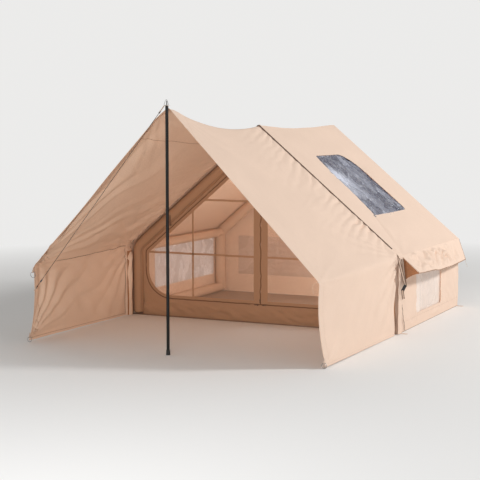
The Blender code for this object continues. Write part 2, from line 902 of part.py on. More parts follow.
def add_pole():
    """Two sections: the upper one plugs into the lower one with a narrower spigot."""
    foot_top = pole_foot_base + seat_gap
    joint = foot_top + pole_lower_length
    upper_bottom = joint + seat_gap
    inner = pole_radius - pole_wall
    plug = inner - seat_gap
    spigot_end = upper_bottom - pole_spigot_length
    shoulder = peak_height - cloth - tab_thickness - seat_gap
    spike_top = shoulder + spike_length
    cup = pole_radius + seat_gap
    sections = (
        ('pole_lower', 'black_steel', [
            (pole_radius, joint), (pole_radius, foot_top), (inner, foot_top), (inner, joint)]),
        ('pole_upper', 'black_steel', [
            (0, spike_top), (spike_radius / 2, spike_top), (spike_radius, spike_top - spike_radius),
            (spike_radius, shoulder), (pole_radius, shoulder), (pole_radius, upper_bottom),
            (plug, upper_bottom), (plug, spigot_end), (0, spigot_end)]),
        ('pole_foot', 'rubber', [
            (0, foot_top - seat_gap), (cup, foot_top - seat_gap), (cup, pole_foot_height),
            (cup + pole_foot_lip, pole_foot_height), (pole_foot_radius, pole_foot_base),
            (pole_foot_radius, 0), (0, 0)]))
    for name, finish, profile in sections:
        section = turned(name, profile, finish)
        section.location.y = pole_y
        smooth(section)


# Peak fittings and the guy rope

def circle_outline(centre, radius, sides=12):
    points = []
    for index in range(sides):
        angle = 2 * math.pi * index / sides
        points.append(Vector((centre[0] + radius * math.cos(angle),
                              centre[1] + radius * math.sin(angle))))
    return points


tab_top = peak_height - cloth


def add_peak_fittings():
    low_y = -peak_tab_front
    high_y = peak_setback - film_gap - seat_gap
    corners = [(-peak_tab_half_width, low_y), (peak_tab_half_width, low_y),
               (peak_tab_half_width, high_y), (-peak_tab_half_width, high_y)]
    outer = rounded_path(corners, [peak_ring_corner, peak_ring_corner, 0, 0], 4, closed=True)
    eyelet = circle_outline((0, 0), peak_eyelet_radius)
    tab = panel_flat('peak_tab', [outer, eyelet], tab_thickness, tab_top - tab_thickness / 2,
                     'webbing')
    tab.location.y = pole_y

    bar = Vector((0, pole_y - peak_ring_forward, tab_top + wire_radius + seat_gap))
    half = peak_ring_width / 2
    corners = [bar + Vector((-half, 0, 0)), bar + Vector((half, 0, 0)),
               bar + Vector((0, 0, peak_ring_height))]
    path = rounded_path(corners, [peak_ring_corner] * 3, 4, closed=True)
    ring = tube('peak_ring', path, wire_radius, 'bright_steel', resolution=2, closed=True)
    hinge = empty_at('peak_ring_hinge', bar)
    carry(hinge, ring)


def strap(name, start, frame, length, width, hole_share, hole_radius):
    """A flat strap from start along the frame's first axis, with an eyelet."""
    half = width / 2
    corners = [(0, -half), (length, -half), (length, half), (0, half)]
    outer = rounded_path(corners, [0, half / 2, half / 2, 0], 4, closed=True)
    hole = circle_outline((length * hole_share, 0), hole_radius)
    made = add_part(name, outline_curve(name, [outer, hole], tab_thickness), 'webbing')
    made.matrix_world = Matrix.Translation(start) @ frame


def wing_front_point(side, height):
    """The middle of the wing's front edge at a height."""
    low, high = 0.0, 1.0
    for _ in range(30):
        middle = (low + high) / 2
        if wing_point(side, middle, 1).z > height:
            low = middle
        else:
            high = middle
    return wing_point(side, low, 1)


def add_guy_rope():
    """A taut rope from a strap at the peak to a loop on the left wing's front edge."""
    clear = tab_thickness / 2 + seat_gap
    top = Vector((-peak_tab_half_width - clear, pole_y, tab_top - tab_thickness / 2))
    wing = wing_front_point(-1, rope_end_height)
    low = Vector((wing.x, canopy_front_y - cloth / 2 - rope_forward, rope_end_height))
    run = (low - top).normalized()
    side_way = Vector((0, 1, 0))
    side_way = (side_way - run * run.dot(side_way)).normalized()
    frame = Matrix((run, side_way, run.cross(side_way))).transposed().to_4x4()
    strap('guy_strap', top, frame, guy_strap_length, guy_strap_width, guy_strap_hole_share,
          guy_strap_hole_radius)
    end = low - run * guy_loop_length
    strap('guy_loop', end, frame, guy_loop_length, guy_loop_width, guy_loop_hole_share,
          guy_loop_hole_radius)
    rope_start = top + run * (guy_strap_length + seat_gap)
    rope_end = end - run * seat_gap
    path = [rope_start.lerp(rope_end, index / (rope_points - 1)) for index in range(rope_points)]
    tube('guy_rope', path, rope_radius, 'cord', resolution=2)

    middle = end - run * runner_place
    plate = add_part('guy_runner', outline_curve('guy_runner', [box_outline(
        -runner_length / 2, runner_length / 2, -runner_width / 2, runner_width / 2,
        runner_thickness / 2)], runner_thickness), 'plastic')
    plate.matrix_world = Matrix.Translation(middle) @ frame
    finish = plate.data.materials[0]
    plate = as_mesh(plate)
    plate.data.materials.clear()
    plate.data.materials.append(finish)
    bore = tube('runner_bore', [middle - run * runner_length, middle + run * runner_length],
                rope_radius + runner_hole_clearance, 'plastic', resolution=2)
    cut(plate, as_cutter(bore))


# Rings, tabs and peg loops

def ring_path(centre, radius, steps=18):
    points = []
    for index in range(steps):
        angle = 2 * math.pi * index / steps
        points.append(centre + Vector((radius * math.sin(angle), 0, radius * math.cos(angle))))
    return points


def hanging_ring(ring_name, tab_name, x, edge_y, hole_z, radius, finish='bright_steel'):
    """A wire ring through a tab on the wing's front edge; it turns in the tab's hole."""
    high_y = edge_y - film_gap
    low_y = high_y - ring_tab_width
    hole_y = (low_y + high_y) / 2
    corners = [(low_y, hole_z - ring_tab_margin), (high_y, hole_z - ring_tab_margin),
               (high_y, hole_z + ring_tab_rise), (low_y, hole_z + ring_tab_margin)]
    outer = rounded_path(corners, [ring_tab_margin / 2] * len(corners), 3, closed=True)
    hole = circle_outline((hole_y, hole_z), ring_hole_radius)
    panel_along(tab_name, [outer, hole], tab_thickness, x, 'webbing')
    centre = Vector((x, hole_y, hole_z - radius))
    ring = tube(ring_name, ring_path(centre, radius), ring_wire_radius, finish, resolution=2,
                closed=True)
    hinge = empty_at(ring_name + '_hinge', (x, hole_y, hole_z))
    carry(hinge, ring)


def add_rings():
    hole_z = ring_clearance + ring_wire_radius + ring_radius * 2
    for side, word in ((-1, 'left'), (1, 'right')):
        edge = wing_front_point(side, hole_z + ring_tab_rise / 2)
        hanging_ring(word + '_wing_ring', word + '_wing_tab', edge.x, canopy_front_y, hole_z,
                     ring_radius)


def add_corner_fittings():
    """The ring on the left upper corner of the canopy, and the short cord on the right one."""
    left = canopy_fold(-1, 1)
    hanging_ring('left_corner_ring', 'left_corner_tab', left.x, canopy_front_y,
                 left.z - cloth - ring_tab_rise, corner_ring_radius)
    right = canopy_fold(1, 1) - Vector((0, cloth / 2 + seat_gap, 0))
    points = []
    for index in range(corner_cord_points):
        share = index / (corner_cord_points - 1)
        turn = corner_cord_turn * share
        points.append(right + Vector((-corner_cord_curl * math.sin(turn),
                                      -corner_cord_forward * share,
                                      -corner_cord_drop * share * share)))
    tube('right_corner_cord', points, corner_cord_radius, 'cord', resolution=2)


def add_peg_loops():
    for side, word in ((-1, 'left'), (1, 'right')):
        for end_y, where in ((front_y + peg_loop_inset, 'front'), (rear_y - peg_loop_inset, 'rear')):
            start = half_width + seat_gap
            if where == 'front':
                start += zip_band_thickness + seat_gap
            end = start + peg_loop_length
            half = peg_loop_width / 2
            corners = [(start, end_y - half), (end, end_y - half), (end, end_y + half),
                       (start, end_y + half)]
            outline = rounded_path(corners, [0, half / 2, half / 2, 0], 3, closed=True)
            hole_start = end - (peg_loop_width - peg_hole_width) / 2 - peg_hole_length
            hole = box_outline(hole_start, hole_start + peg_hole_length,
                               end_y - peg_hole_width / 2, end_y + peg_hole_width / 2,
                               peg_hole_width / 4)
            placed = [[Vector((side * point[0], point[1])) for point in line]
                      for line in (outline, hole)]
            panel_flat(word + '_' + where + '_peg_loop', placed, tab_thickness, tab_thickness / 2,
                       'webbing')


def add_toggles():
    """A strap and barrel on each front rafter, which ties a rolled-up door leaf."""
    z = roof_line(toggle_place, frame_offset)
    y = front_arch_y - beam_radius - seat_gap - toggle_strap_thickness / 2
    for side, word in ((-1, 'left'), (1, 'right')):
        strap = box(word + '_door_toggle', (toggle_strap_width, toggle_strap_thickness,
                                            toggle_strap_length),
                    (side * toggle_place, y, z - toggle_strap_length / 2), 'webbing')
        middle = Vector((side * toggle_place, y, z - toggle_strap_length))
        reach = Vector((toggle_barrel_length / 2, 0, 0))
        barrel = tube(word + '_toggle_barrel', [middle - reach, middle + reach],
                      toggle_barrel_radius, 'webbing', resolution=2)
        cut(strap, as_cutter(barrel), 'UNION')


add_groundsheet()
add_arches()
front_cutter = arch_cutter('front_arch_cutter', front_arch_y)
rear_cutter = arch_cutter('rear_arch_cutter', rear_arch_y)
add_long_beams(front_cutter, rear_cutter)
add_valve(rear_cutter)
add_side_walls()
add_rear_wall()
add_front_wall()
add_door_leaves()
add_roof_panels()
add_zip_bands()
add_hoods()
add_canopy()
add_sliders()
add_pole()
add_peak_fittings()
add_guy_rope()
add_rings()
add_corner_fittings()
add_peg_loops()
add_toggles()
bpy.context.view_layer.update()
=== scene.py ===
import math

import bpy
import numpy as np
from mathutils import Matrix, Vector


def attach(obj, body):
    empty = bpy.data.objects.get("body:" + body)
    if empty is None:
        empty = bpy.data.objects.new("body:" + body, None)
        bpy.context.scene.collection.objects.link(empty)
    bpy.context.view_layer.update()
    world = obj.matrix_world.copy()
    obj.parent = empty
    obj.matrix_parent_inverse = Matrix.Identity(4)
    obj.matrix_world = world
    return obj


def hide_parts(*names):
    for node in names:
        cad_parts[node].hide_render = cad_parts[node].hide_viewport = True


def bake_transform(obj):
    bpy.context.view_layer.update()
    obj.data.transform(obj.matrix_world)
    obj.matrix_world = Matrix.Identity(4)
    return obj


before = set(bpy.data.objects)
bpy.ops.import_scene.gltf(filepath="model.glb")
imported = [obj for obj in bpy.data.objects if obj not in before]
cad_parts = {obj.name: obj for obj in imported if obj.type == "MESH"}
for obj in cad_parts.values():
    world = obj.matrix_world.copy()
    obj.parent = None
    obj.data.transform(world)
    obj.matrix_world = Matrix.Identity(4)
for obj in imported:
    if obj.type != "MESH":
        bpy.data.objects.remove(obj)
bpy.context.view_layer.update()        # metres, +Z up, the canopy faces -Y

print("tent: frame loaded,", len(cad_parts), "CAD nodes")

# The tent's own sizes, as the frame has them
tent = {"halfWidth": 1.5, "frontY": -1.05, "rearY": 1.05, "eave": 0.76, "ridge": 2.02,
        "postX": 1.4357, "frontArchY": -0.99, "rearArchY": 0.9857, "beamRadius": 0.06,
        "floorTop": 0.0043, "roofSag": 0.03, "gap": 0.0003}
slope = math.atan2(tent["ridge"] - tent["eave"], tent["halfWidth"])
bothSides = ((-1, "left"), (1, "right"))


# Picking and editing
def setMode(word):
    bpy.ops.object.mode_set(mode=word)


def deselectAll():
    if bpy.context.object and bpy.context.object.mode != "OBJECT":
        setMode("OBJECT")
    bpy.ops.object.select_all(action="DESELECT")


def pick(piece):
    deselectAll()
    piece.select_set(True)
    bpy.context.view_layer.objects.active = piece


def editAll(piece, *steps):
    # runs edit-mode steps on the whole mesh
    pick(piece)
    setMode("EDIT")
    bpy.ops.mesh.select_all(action="SELECT")
    for step in steps:
        step()
    setMode("OBJECT")


def selectFaces(piece, test):
    # in edit mode, selects the faces whose centre and normal pass the test
    bpy.ops.mesh.select_all(action="DESELECT")
    setMode("OBJECT")
    for face in piece.data.polygons:
        face.select = bool(test(face.center, face.normal))
    setMode("EDIT")


def raiseFaces(height):
    # in edit mode, pulls the selected faces out along Z, or sinks them
    bpy.ops.mesh.extrude_region_move(TRANSFORM_OT_translate={"value": (0, 0, height)})


def smoothByAngle(piece, angle=50):
    pick(piece)
    bpy.ops.object.shade_smooth_by_angle(angle=math.radians(angle))


def settle(piece):
    # puts a modelled piece's place into its mesh
    pick(piece)
    bpy.ops.object.transform_apply(location=True, rotation=True, scale=True)


def modify(piece, kind, **values):
    pick(piece)
    modifier = piece.modifiers.new(kind.title(), kind)
    for key, value in values.items():
        setattr(modifier, key, value)
    bpy.ops.object.modifier_apply(modifier=modifier.name)


def bevel(piece, width, segments=3):
    modify(piece, "BEVEL", width=width, segments=segments, limit_method="ANGLE")


def addShape(add, name, scale=(1, 1, 1), **values):
    # one of bpy.ops.mesh's primitives at its size and place, alone in the selection
    deselectAll()
    add(**values)
    piece = bpy.context.object
    piece.name = name
    piece.scale = scale
    settle(piece)
    return piece


def finishWith(piece, *materials):
    # fills the slots in place, because clearing them would forget which faces are inside
    slots = piece.data.materials
    if len(slots) != len(materials):
        slots.clear()
        for _ in materials:
            slots.append(None)
    for index, material in enumerate(materials):
        slots[index] = material


def dress(piece, material, body, slotName, *nodes):
    # finish, body, slot (not used) and the CAD nodes that a piece stands for
    finishWith(piece, *(material if isinstance(material, tuple) else (material,)))
    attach(piece, body)
    if nodes:
        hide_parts(*nodes)


# Shares, ripples and folds, on whole arrays of points
def pointsOf(x, y, z):
    # each may be an array or one number
    return np.stack(np.broadcast_arrays(x, y, z), axis=-1)


def unit(arrows):
    return arrows / np.linalg.norm(arrows, axis=-1, keepdims=True)


def tangentsOf(path):
    return unit(np.gradient(path, axis=0))


def ease(share):
    share = np.clip(share, 0, 1)
    return share * share * (3 - 2 * share)


def swell(share):
    return 4 * share * (1 - share)


def mixPoints(first, second, share):
    return first + (second - first) * share


def ripple(x, y, size, seed):
    # smooth seeded unevenness, about -1 to 1
    chance = np.random.default_rng(seed)
    total = 0
    for _ in range(7):  # seven waves, in any direction
        turn = chance.uniform(0, 2 * math.pi)
        pace = chance.uniform(0.55, 1.7) * 2 * math.pi / size
        total = total + np.sin((x * math.cos(turn) + y * math.sin(turn)) * pace
                               + chance.uniform(0, 2 * math.pi))
    return total / 3.2


def crease(x, y, size, seed):
    # sharp valleys between rounded puffs, as in stiff film or pulled cloth
    bentX = x + size * 0.35 * ripple(x, y, size * 1.7, seed + 50)
    bentY = y + size * 0.35 * ripple(x, y, size * 1.9, seed + 51)
    return np.abs(ripple(bentX, bentY, size, seed)) - 0.45


def fan(x, y, centre, folds, reach, seed, start=0.12):
    # folds that run out from a point that pulls on the cloth
    away = np.hypot(x - centre[0], y - centre[1])
    turn = np.arctan2(y - centre[1], x - centre[0])
    chance = np.random.default_rng(seed)
    bend = turn + 0.05 * ripple(x, y, 0.8, seed + 9)
    wave = np.abs(np.sin(folds * bend + chance.uniform(0, 3))) - 0.6
    wave = wave + 0.5 * np.sin(folds * 1.63 * bend + chance.uniform(0, 3))
    return wave * ease(away / start) * np.exp(-away / reach)


def fans(x, y, folds):
    # several fans; each row is its size, the part of the cloth that it shows on, and fan's values
    return sum(size * where * fan(x, y, *values) for size, where, *values in folds)


def clothNormals(points):
    along = np.gradient(points, axis=0)
    across = np.gradient(points, axis=1)
    normal = np.cross(across, along)
    size = np.linalg.norm(normal, axis=2, keepdims=True)
    return normal / np.maximum(size, 1e-9)


def relax(points, times, axis):
    # rounds creases off along one way of the grid and leaves its edges
    points = points.copy()
    for _ in range(times):
        middle = np.take(points, range(1, points.shape[axis] - 1), axis)
        before = np.take(points, range(0, points.shape[axis] - 2), axis)
        after = np.take(points, range(2, points.shape[axis]), axis)
        rounded = (before + after + 2 * middle) / 4
        if axis == 1:
            points[:, 1:-1] = rounded
        else:
            points[1:-1] = rounded
    return points


# Laying cloth: a grid whose points go where a function of (across, along) puts them
laid = {}


def layCloth(name, columns, rows, place, flat, looped=False, thickness=0.0016, flip=False,
             sides=1):
    # flat is the cloth's size for its weave; with sides=2 the inner face has its own finish
    deselectAll()
    bpy.ops.mesh.primitive_grid_add(x_subdivisions=columns, y_subdivisions=rows, size=2)
    piece = bpy.context.object
    piece.name = name
    mesh = piece.data
    mesh.name = name
    old = np.empty(len(mesh.vertices) * 3)
    mesh.vertices.foreach_get("co", old)
    old = old.reshape(-1, 3)
    order = np.lexsort((np.round(old[:, 0], 5), np.round(old[:, 1], 5)))
    across = len(np.unique(np.round(old[:, 0], 5)))
    along = len(old) // across
    share = (old[order].reshape(along, across, 3)[..., :2] + 1) / 2
    points = place(share[..., 0], share[..., 1])
    laid[name] = points
    new = np.empty_like(old)
    new[order] = points.reshape(-1, 3)
    mesh.vertices.foreach_set("co", new.ravel())
    uv = mesh.uv_layers.active
    uv.name = "cloth"
    spread = np.empty(len(uv.data) * 2)
    uv.data.foreach_get("uv", spread)
    spread = spread.reshape(-1, 2) * np.array(flat)
    uv.data.foreach_set("uv", spread.ravel())
    mesh.update()
    if flip:
        editAll(piece, bpy.ops.mesh.flip_normals)
    if looped:
        editAll(piece, lambda: bpy.ops.mesh.remove_doubles(threshold=0.00002))
    for _ in range(sides):
        mesh.materials.append(None)
    if thickness:
        modify(piece, "SOLIDIFY", thickness=thickness, offset=0, material_offset=sides - 1,
               material_offset_rim=0)
    smoothByAngle(piece, 60)
    return piece


def straightLine(first, second, count):
    share = np.linspace(0, 1, count)[:, None]
    return mixPoints(np.array(first), np.array(second), share)


def cornerArc(before, corner, after, radius, steps):
    # points of a rounded corner; a straight one gets as many on its line
    before, after = unit(before - corner), unit(after - corner)
    half = math.acos(float(np.clip(np.dot(before, after), -1, 1))) / 2
    straight = half > math.pi / 2 - 1e-4
    reach = 1e-5 if straight else radius / math.tan(half)
    start, end = corner + before * reach, corner + after * reach
    shares = [step / steps for step in range(steps + 1)]
    if straight:
        return [start + (end - start) * share for share in shares]
    middle = corner + unit(before + after) * (radius / math.sin(half))
    sweep = math.pi - 2 * half
    return [middle + ((start - middle) * math.sin((1 - share) * sweep)
                      + (end - middle) * math.sin(share * sweep)) / math.sin(sweep)
            for share in shares]


def roundedLoop(corners, radii, arcSteps, runSteps):
    # a closed outline with the same number of points for any radii
    corners = [np.array(corner, float) for corner in corners]
    count = len(corners)
    arcs = [cornerArc(corners[index - 1], corner, corners[(index + 1) % count],
                      max(radii[index], 1e-5), arcSteps)
            for index, corner in enumerate(corners)]
    points = []
    for index in range(count):
        points += arcs[index]
        end, start = arcs[index][-1], arcs[(index + 1) % count][0]
        points += [end + (start - end) * step / runSteps[index]
                   for step in range(1, runSteps[index])]
    points.append(points[0])
    return np.array(points)


def roundedRun(corners, radii, steps):
    # an open line with rounded bends
    corners = [np.array(corner, float) for corner in corners]
    points = [corners[0]]
    for index in range(1, len(corners) - 1):
        points += cornerArc(*corners[index - 1:index + 2], radii[index], steps)
    points.append(corners[-1])
    return np.array(points)


def evenly(path, share, field=None):
    # a line's points at shares of its length, or what another field has there
    path = np.array(path, float)
    field = path if field is None else field
    steps = np.linalg.norm(np.diff(path, axis=0), axis=1)
    run = np.concatenate(([0], np.cumsum(steps)))
    at = np.clip(share, 0, 1) * run[-1]
    return np.stack([np.interp(at, run, field[:, axis]) for axis in range(3)], axis=-1)


def lengthOf(path):
    return float(np.sum(np.linalg.norm(np.diff(np.array(path), axis=0), axis=1)))


def layStrip(name, path, ups, width, height=None, columns=2, spacing=0.02, thickness=0.001,
             wave=0.0, waveSize=0.06, seed=1):
    # a tape that follows a line, with its face towards ups
    path = np.array(path, float)
    length = lengthOf(path)
    rows = max(4, int(length / spacing))
    ups = np.broadcast_to(np.array(ups, float), path.shape)

    def place(s, t):
        centre = evenly(path, t[:, 0])
        up = unit(evenly(path, t[:, 0], ups))
        side = unit(np.cross(tangentsOf(centre), up))
        run = t[:, 0] * length
        sway = wave * ripple(run, run * 0, waveSize, seed)[:, None]
        rise = height(s) if height else np.zeros_like(s)
        shift = (s - 0.5) * width + sway
        return (centre[:, None] + side[:, None] * shift[..., None]
                + up[:, None] * rise[..., None])

    return layCloth(name, columns, rows, place, (width, length), thickness=thickness)


def wrapTube(name, path, radius, flatWay, around=40, spacing=0.016, wrinkle=None, ends=True,
             trim=None):
    # a sewn sleeve round a line that lies in one plane, whose normal is flatWay
    path = np.array(path, float)
    length = lengthOf(path)
    rows = int(length / spacing)
    flatWay = np.array(flatWay, float)

    def place(s, t):
        centre = evenly(path, t[:, 0])
        out = np.cross(tangentsOf(centre), flatWay)
        turn = s * 2 * math.pi
        size = np.full(s.shape, radius)
        if wrinkle:
            size = size + wrinkle(turn, t * length, centre)
        if ends:
            fromEnd = np.minimum(t, 1 - t) * length
            dome = np.sqrt(np.clip(1 - (1 - np.clip(fromEnd / (radius * 0.6), 0, 1)) ** 2, 0, 1))
            size = size * (dome * 0.985 + 0.015)
        points = (centre[:, None] + out[:, None] * (np.cos(turn) * size)[..., None]
                  + flatWay * (np.sin(turn) * size)[..., None])
        points[:, -1] = points[:, 0]
        return trim(points) if trim else points

    piece = layCloth(name, around, rows, place, (2 * math.pi * radius, length), looped=True,
                     thickness=0, flip=True)
    editAll(piece, lambda: bpy.ops.mesh.fill_holes(sides=0),
            lambda: bpy.ops.mesh.normals_make_consistent(inside=False))
    smoothByAngle(piece, 60)
    return piece


def joinPieces(name, pieces):
    deselectAll()
    for piece in pieces:
        piece.select_set(True)
    bpy.context.view_layer.objects.active = pieces[0]
    if len(pieces) > 1:
        bpy.ops.object.join()
    made = bpy.context.view_layer.objects.active
    made.name = name
    made.data.name = name
    return made


# Shader sums written as sums: a signal is one socket of a finish
def sign(operation, turned=False):
    # one arithmetic sign between signals; turned when the signal stands on its right
    def work(signal, other):
        values = (other, signal) if turned else (signal, other)
        return signal.finish.maths(operation, *values)
    return work


class Signal:
    __add__, __radd__ = sign("ADD"), sign("ADD", True)
    __sub__, __rsub__ = sign("SUBTRACT"), sign("SUBTRACT", True)
    __mul__, __rmul__ = sign("MULTIPLY"), sign("MULTIPLY", True)
    __truediv__ = sign("DIVIDE")
    __gt__, __lt__ = sign("GREATER_THAN"), sign("LESS_THAN")

    def __init__(self, finish, socket):
        self.finish = finish
        self.socket = socket


class NodeTree:
    def __init__(self, tree):
        self.tree = tree

    def node(self, kind, settings=None, values=None):
        made = self.tree.nodes.new(kind)
        for key, value in (settings or {}).items():
            setattr(made, key, value)
        for key, value in (values or {}).items():
            self.feed(made.inputs[key], value)
        return made

    def feed(self, socket, value):
        if isinstance(value, Signal):
            self.tree.links.new(value.socket, socket)
        else:
            socket.default_value = value

    def signal(self, node, output=0):
        return Signal(self, node.outputs[output])

    def maths(self, operation, *values, kind="ShaderNodeMath", output=0):
        made = self.node(kind, {"operation": operation}, dict(enumerate(values)))
        return self.signal(made, output)

    def vectorMaths(self, operation, *values, output=0):
        return self.maths(operation, *values, kind="ShaderNodeVectorMath", output=output)


class Finish(NodeTree):
    def __init__(self, name, colour=(0.8, 0.8, 0.8), roughness=0.8, **sockets):
        self.material = bpy.data.materials.new(name)
        self.material.use_nodes = True
        super().__init__(self.material.node_tree)
        self.shader = self.tree.nodes["Principled BSDF"]
        self.shader.inputs["Base Color"].default_value = (*colour, 1)
        self.shader.inputs["Roughness"].default_value = roughness
        for socket, value in sockets.items():
            self.shader.inputs[socket].default_value = value

    def shades(self, share, colour, dark, light, most=2.0):
        # between a darker and a lighter tone of one colour
        return self.blendColour(share, *[tuple(min(part * factor, most) for part in colour)
                                         for factor in (dark, light)])

    def blendColour(self, share, first, second):
        values = {0: share}
        for index, colour in ((6, first), (7, second)):
            values[index] = colour if isinstance(colour, Signal) else (*colour, 1)
        return self.signal(self.node("ShaderNodeMix", {"data_type": "RGBA"}, values), 2)

    def place(self):
        return self.signal(self.node("ShaderNodeTexCoord"), 3)

    def clothPlace(self):
        return self.signal(self.node("ShaderNodeUVMap", {"uv_map": "cloth"}))

    def parts(self, vector):
        split = self.node("ShaderNodeSeparateXYZ", {}, {0: vector})
        return [self.signal(split, index) for index in range(3)]

    def noise(self, vector, scale, detail=3.0, roughness=0.5, distortion=0.0):
        made = self.node("ShaderNodeTexNoise", {}, {
            "Vector": vector, "Scale": scale, "Detail": detail, "Roughness": roughness,
            "Distortion": distortion})
        return self.signal(made)

    def bump(self, height, depth=1.0):
        return self.signal(self.node("ShaderNodeBump", {}, {
            "Height": height, "Distance": depth, "Strength": 1.0}))

    def set(self, **signals):
        names = {"colour": "Base Color", "roughness": "Roughness", "metallic": "Metallic",
                 "coat": "Coat Weight", "alpha": "Alpha", "emission": "Emission Color",
                 "normal": "Normal"}
        for key, value in signals.items():
            self.feed(self.shader.inputs[names[key]], value)
        return self.material


# Finishes
fabric = {"outer": (0.83, 0.635, 0.51), "inner": (0.86, 0.615, 0.455),
          "sleeve": (0.71, 0.47, 0.325), "porch": (0.48, 0.27, 0.155),
          "hem": (0.76, 0.525, 0.385), "floor": (0.30, 0.21, 0.155), "trim": (0.34, 0.18, 0.10),
          "threadPitch": 0.0011}


def wovenCloth(name, colour, shade, roughness=0.78, puff=0.0035, puffScale=9.0):
    # tent cloth: fine plain weave, soft creases and slightly uneven dye
    finish = Finish(name, colour, roughness)
    finish.shader.inputs["Specular IOR Level"].default_value = 0.25
    where = finish.place()
    u, v, _ = finish.parts(finish.clothPlace())
    pitch = 2 * math.pi / fabric["threadPitch"]
    weave = finish.maths("SINE", u * pitch) * finish.maths("SINE", v * pitch)
    uneven = finish.noise(where, 2.3, 4.0, 0.55)
    fine = finish.noise(where, 42.0, 3.0, 0.6)
    soft = finish.noise(where, puffScale, 4.0, 0.55, 0.6)
    fold = finish.maths("ABSOLUTE", soft - 0.5)
    tone = (uneven - 0.5) * 0.5 + (fine - 0.5) * 0.25 + weave * 0.05 + 0.5
    dark = tuple(part * shade for part in colour)
    light = tuple(min(part * (2 - shade) * 0.99, 0.95) for part in colour)
    mixed = finish.blendColour(tone, dark, light)
    worn = finish.noise(where, 0.9, 5.0, 0.65)
    height = weave * 0.00012 + fold * puff * -1 + fine * 0.0004
    return finish.set(colour=mixed, roughness=roughness - 0.06 + worn * 0.14,
                      normal=finish.bump(height))


def stitchedTrim(name, colour, stitchColour, pitch=0.004):
    # narrow piping and hems, with a row of stitches down the middle
    finish = Finish(name, colour, 0.7)
    u, v, _ = finish.parts(finish.clothPlace())
    dash = finish.maths("FRACT", v / pitch) < 0.68
    across = finish.maths("ABSOLUTE", finish.maths("FRACT", u / 0.008) - 0.5)
    thread = (across < 0.09) * dash
    fine = finish.noise(finish.place(), 160.0, 2.0)
    base = finish.shades(fine, colour, 0.75, 1.3)
    mixed = finish.blendColour(thread, base, stitchColour)
    return finish.set(colour=mixed, roughness=0.62 + fine * 0.2,
                      normal=finish.bump(thread * 0.0006 + fine * 0.0003))


def clearFilm(name, bright, dark, alpha, size, inner=0.0, patch=None):
    # soft window film: flat facets between creases, lightened by painted highlights; inner is an
    # emission glow painted in for the daylight that shines through, and patch a painted bright
    # reflection's (place, reach)
    finish = Finish(name, bright, 0.22)
    finish.shader.inputs["Specular IOR Level"].default_value = 0.5
    where = finish.place()
    sway = finish.node("ShaderNodeTexNoise", {}, {"Vector": where, "Scale": size * 0.5,
                                                  "Detail": 2.0})
    bent = finish.vectorMaths("MULTIPLY_ADD", finish.signal(sway, 1), (0.35, 0.35, 0.35), where)
    drawn = finish.vectorMaths("MULTIPLY", bent, (0.8, 1.7, 0.8))
    cells = finish.node("ShaderNodeTexVoronoi", {}, {"Vector": drawn, "Scale": size})
    facet = finish.parts(finish.signal(cells, 1))[0]
    gap = finish.signal(finish.node("ShaderNodeTexVoronoi", {"feature": "DISTANCE_TO_EDGE"},
                                    {"Vector": drawn, "Scale": size}))
    crest = finish.maths("MAXIMUM", 1 - gap * 18, 0.0)
    streak = finish.maths("ABSOLUTE", finish.noise(drawn, size * 1.6, 3.0, 0.6, 0.8) - 0.5)
    crest = crest * 0.35 + finish.maths("MAXIMUM", 1 - streak * 30, 0.0) * 0.65
    glow = finish.noise(where, size * 0.4, 2.0, 0.5) * 3 - 1.5
    if patch:
        away = finish.vectorMaths("DISTANCE", bent, patch[0], output=1)
        glow = finish.maths("MINIMUM", (patch[1] - away) * 7, 1.0) * 0.85
    glow = finish.maths("MAXIMUM", glow, 0.0)
    # painted highlights: the crests, the brighter facets and the glow patches lighten the film's
    # colour
    light = finish.maths("MINIMUM", facet * facet * 0.38 + crest * 0.5 + glow * 0.75, 1.0)
    mixed = finish.blendColour(light, dark, bright)
    # painted glow: the film gives off its own colour, standing for daylight through it
    if inner:
        finish.shader.inputs["Emission Strength"].default_value = inner
        finish.set(emission=mixed)
    return finish.set(colour=mixed, roughness=0.14 + facet * 0.2, alpha=alpha - 0.04 + light * 0.07,
                      normal=finish.bump(facet * 0.008 + crest * 0.003))


def netting(name, colour, pitch=0.0024, thread=0.19):
    # fine insect net; between its threads one looks through
    finish = Finish(name, colour, 0.75)
    u, v, _ = finish.parts(finish.clothPlace())
    rowU = finish.maths("ABSOLUTE", finish.maths("FRACT", u / pitch) - 0.5)
    rowV = finish.maths("ABSOLUTE", finish.maths("FRACT", v / pitch) - 0.5)
    hole = (rowU > thread / 2) * (rowV > thread / 2)
    cloudy = finish.noise(finish.place(), 3.0, 3.0)
    mixed = finish.shades(cloudy, colour, 0.85, 1.15)
    return finish.set(colour=mixed, alpha=1 - hole, roughness=0.7 + cloudy * 0.1,
                      normal=finish.bump(rowU + rowV, 0.0004))


def ribbedWeb(name, colour, pitch=0.0022):
    # woven strap: ribs across
    finish = Finish(name, colour, 0.75)
    where = finish.place()
    x, y, z = finish.parts(where)
    ribs = finish.maths("SINE", (x + y + z) * (2 * math.pi / pitch))
    cross = finish.maths("SINE", (x - y + z) * (2 * math.pi / pitch))
    fine = finish.noise(where, 260.0, 2.0)
    tone = ribs * 0.25 + fine * 0.4 + 0.3
    mixed = finish.shades(tone, colour, 0.7, 1.25)
    return finish.set(colour=mixed, roughness=0.7 + fine * 0.15,
                      normal=finish.bump(ribs * cross * 0.0003 + fine * 0.0002))


def zipTapeFinish(name, colour):
    # plain woven zip tape; its coil is raised in the mesh
    finish = Finish(name, colour, 0.75)
    fine = finish.noise(finish.place(), 300.0, 2.0)
    return finish.set(colour=finish.shades(fine, colour, 0.8, 1.2),
                      normal=finish.bump(fine * 0.0003))


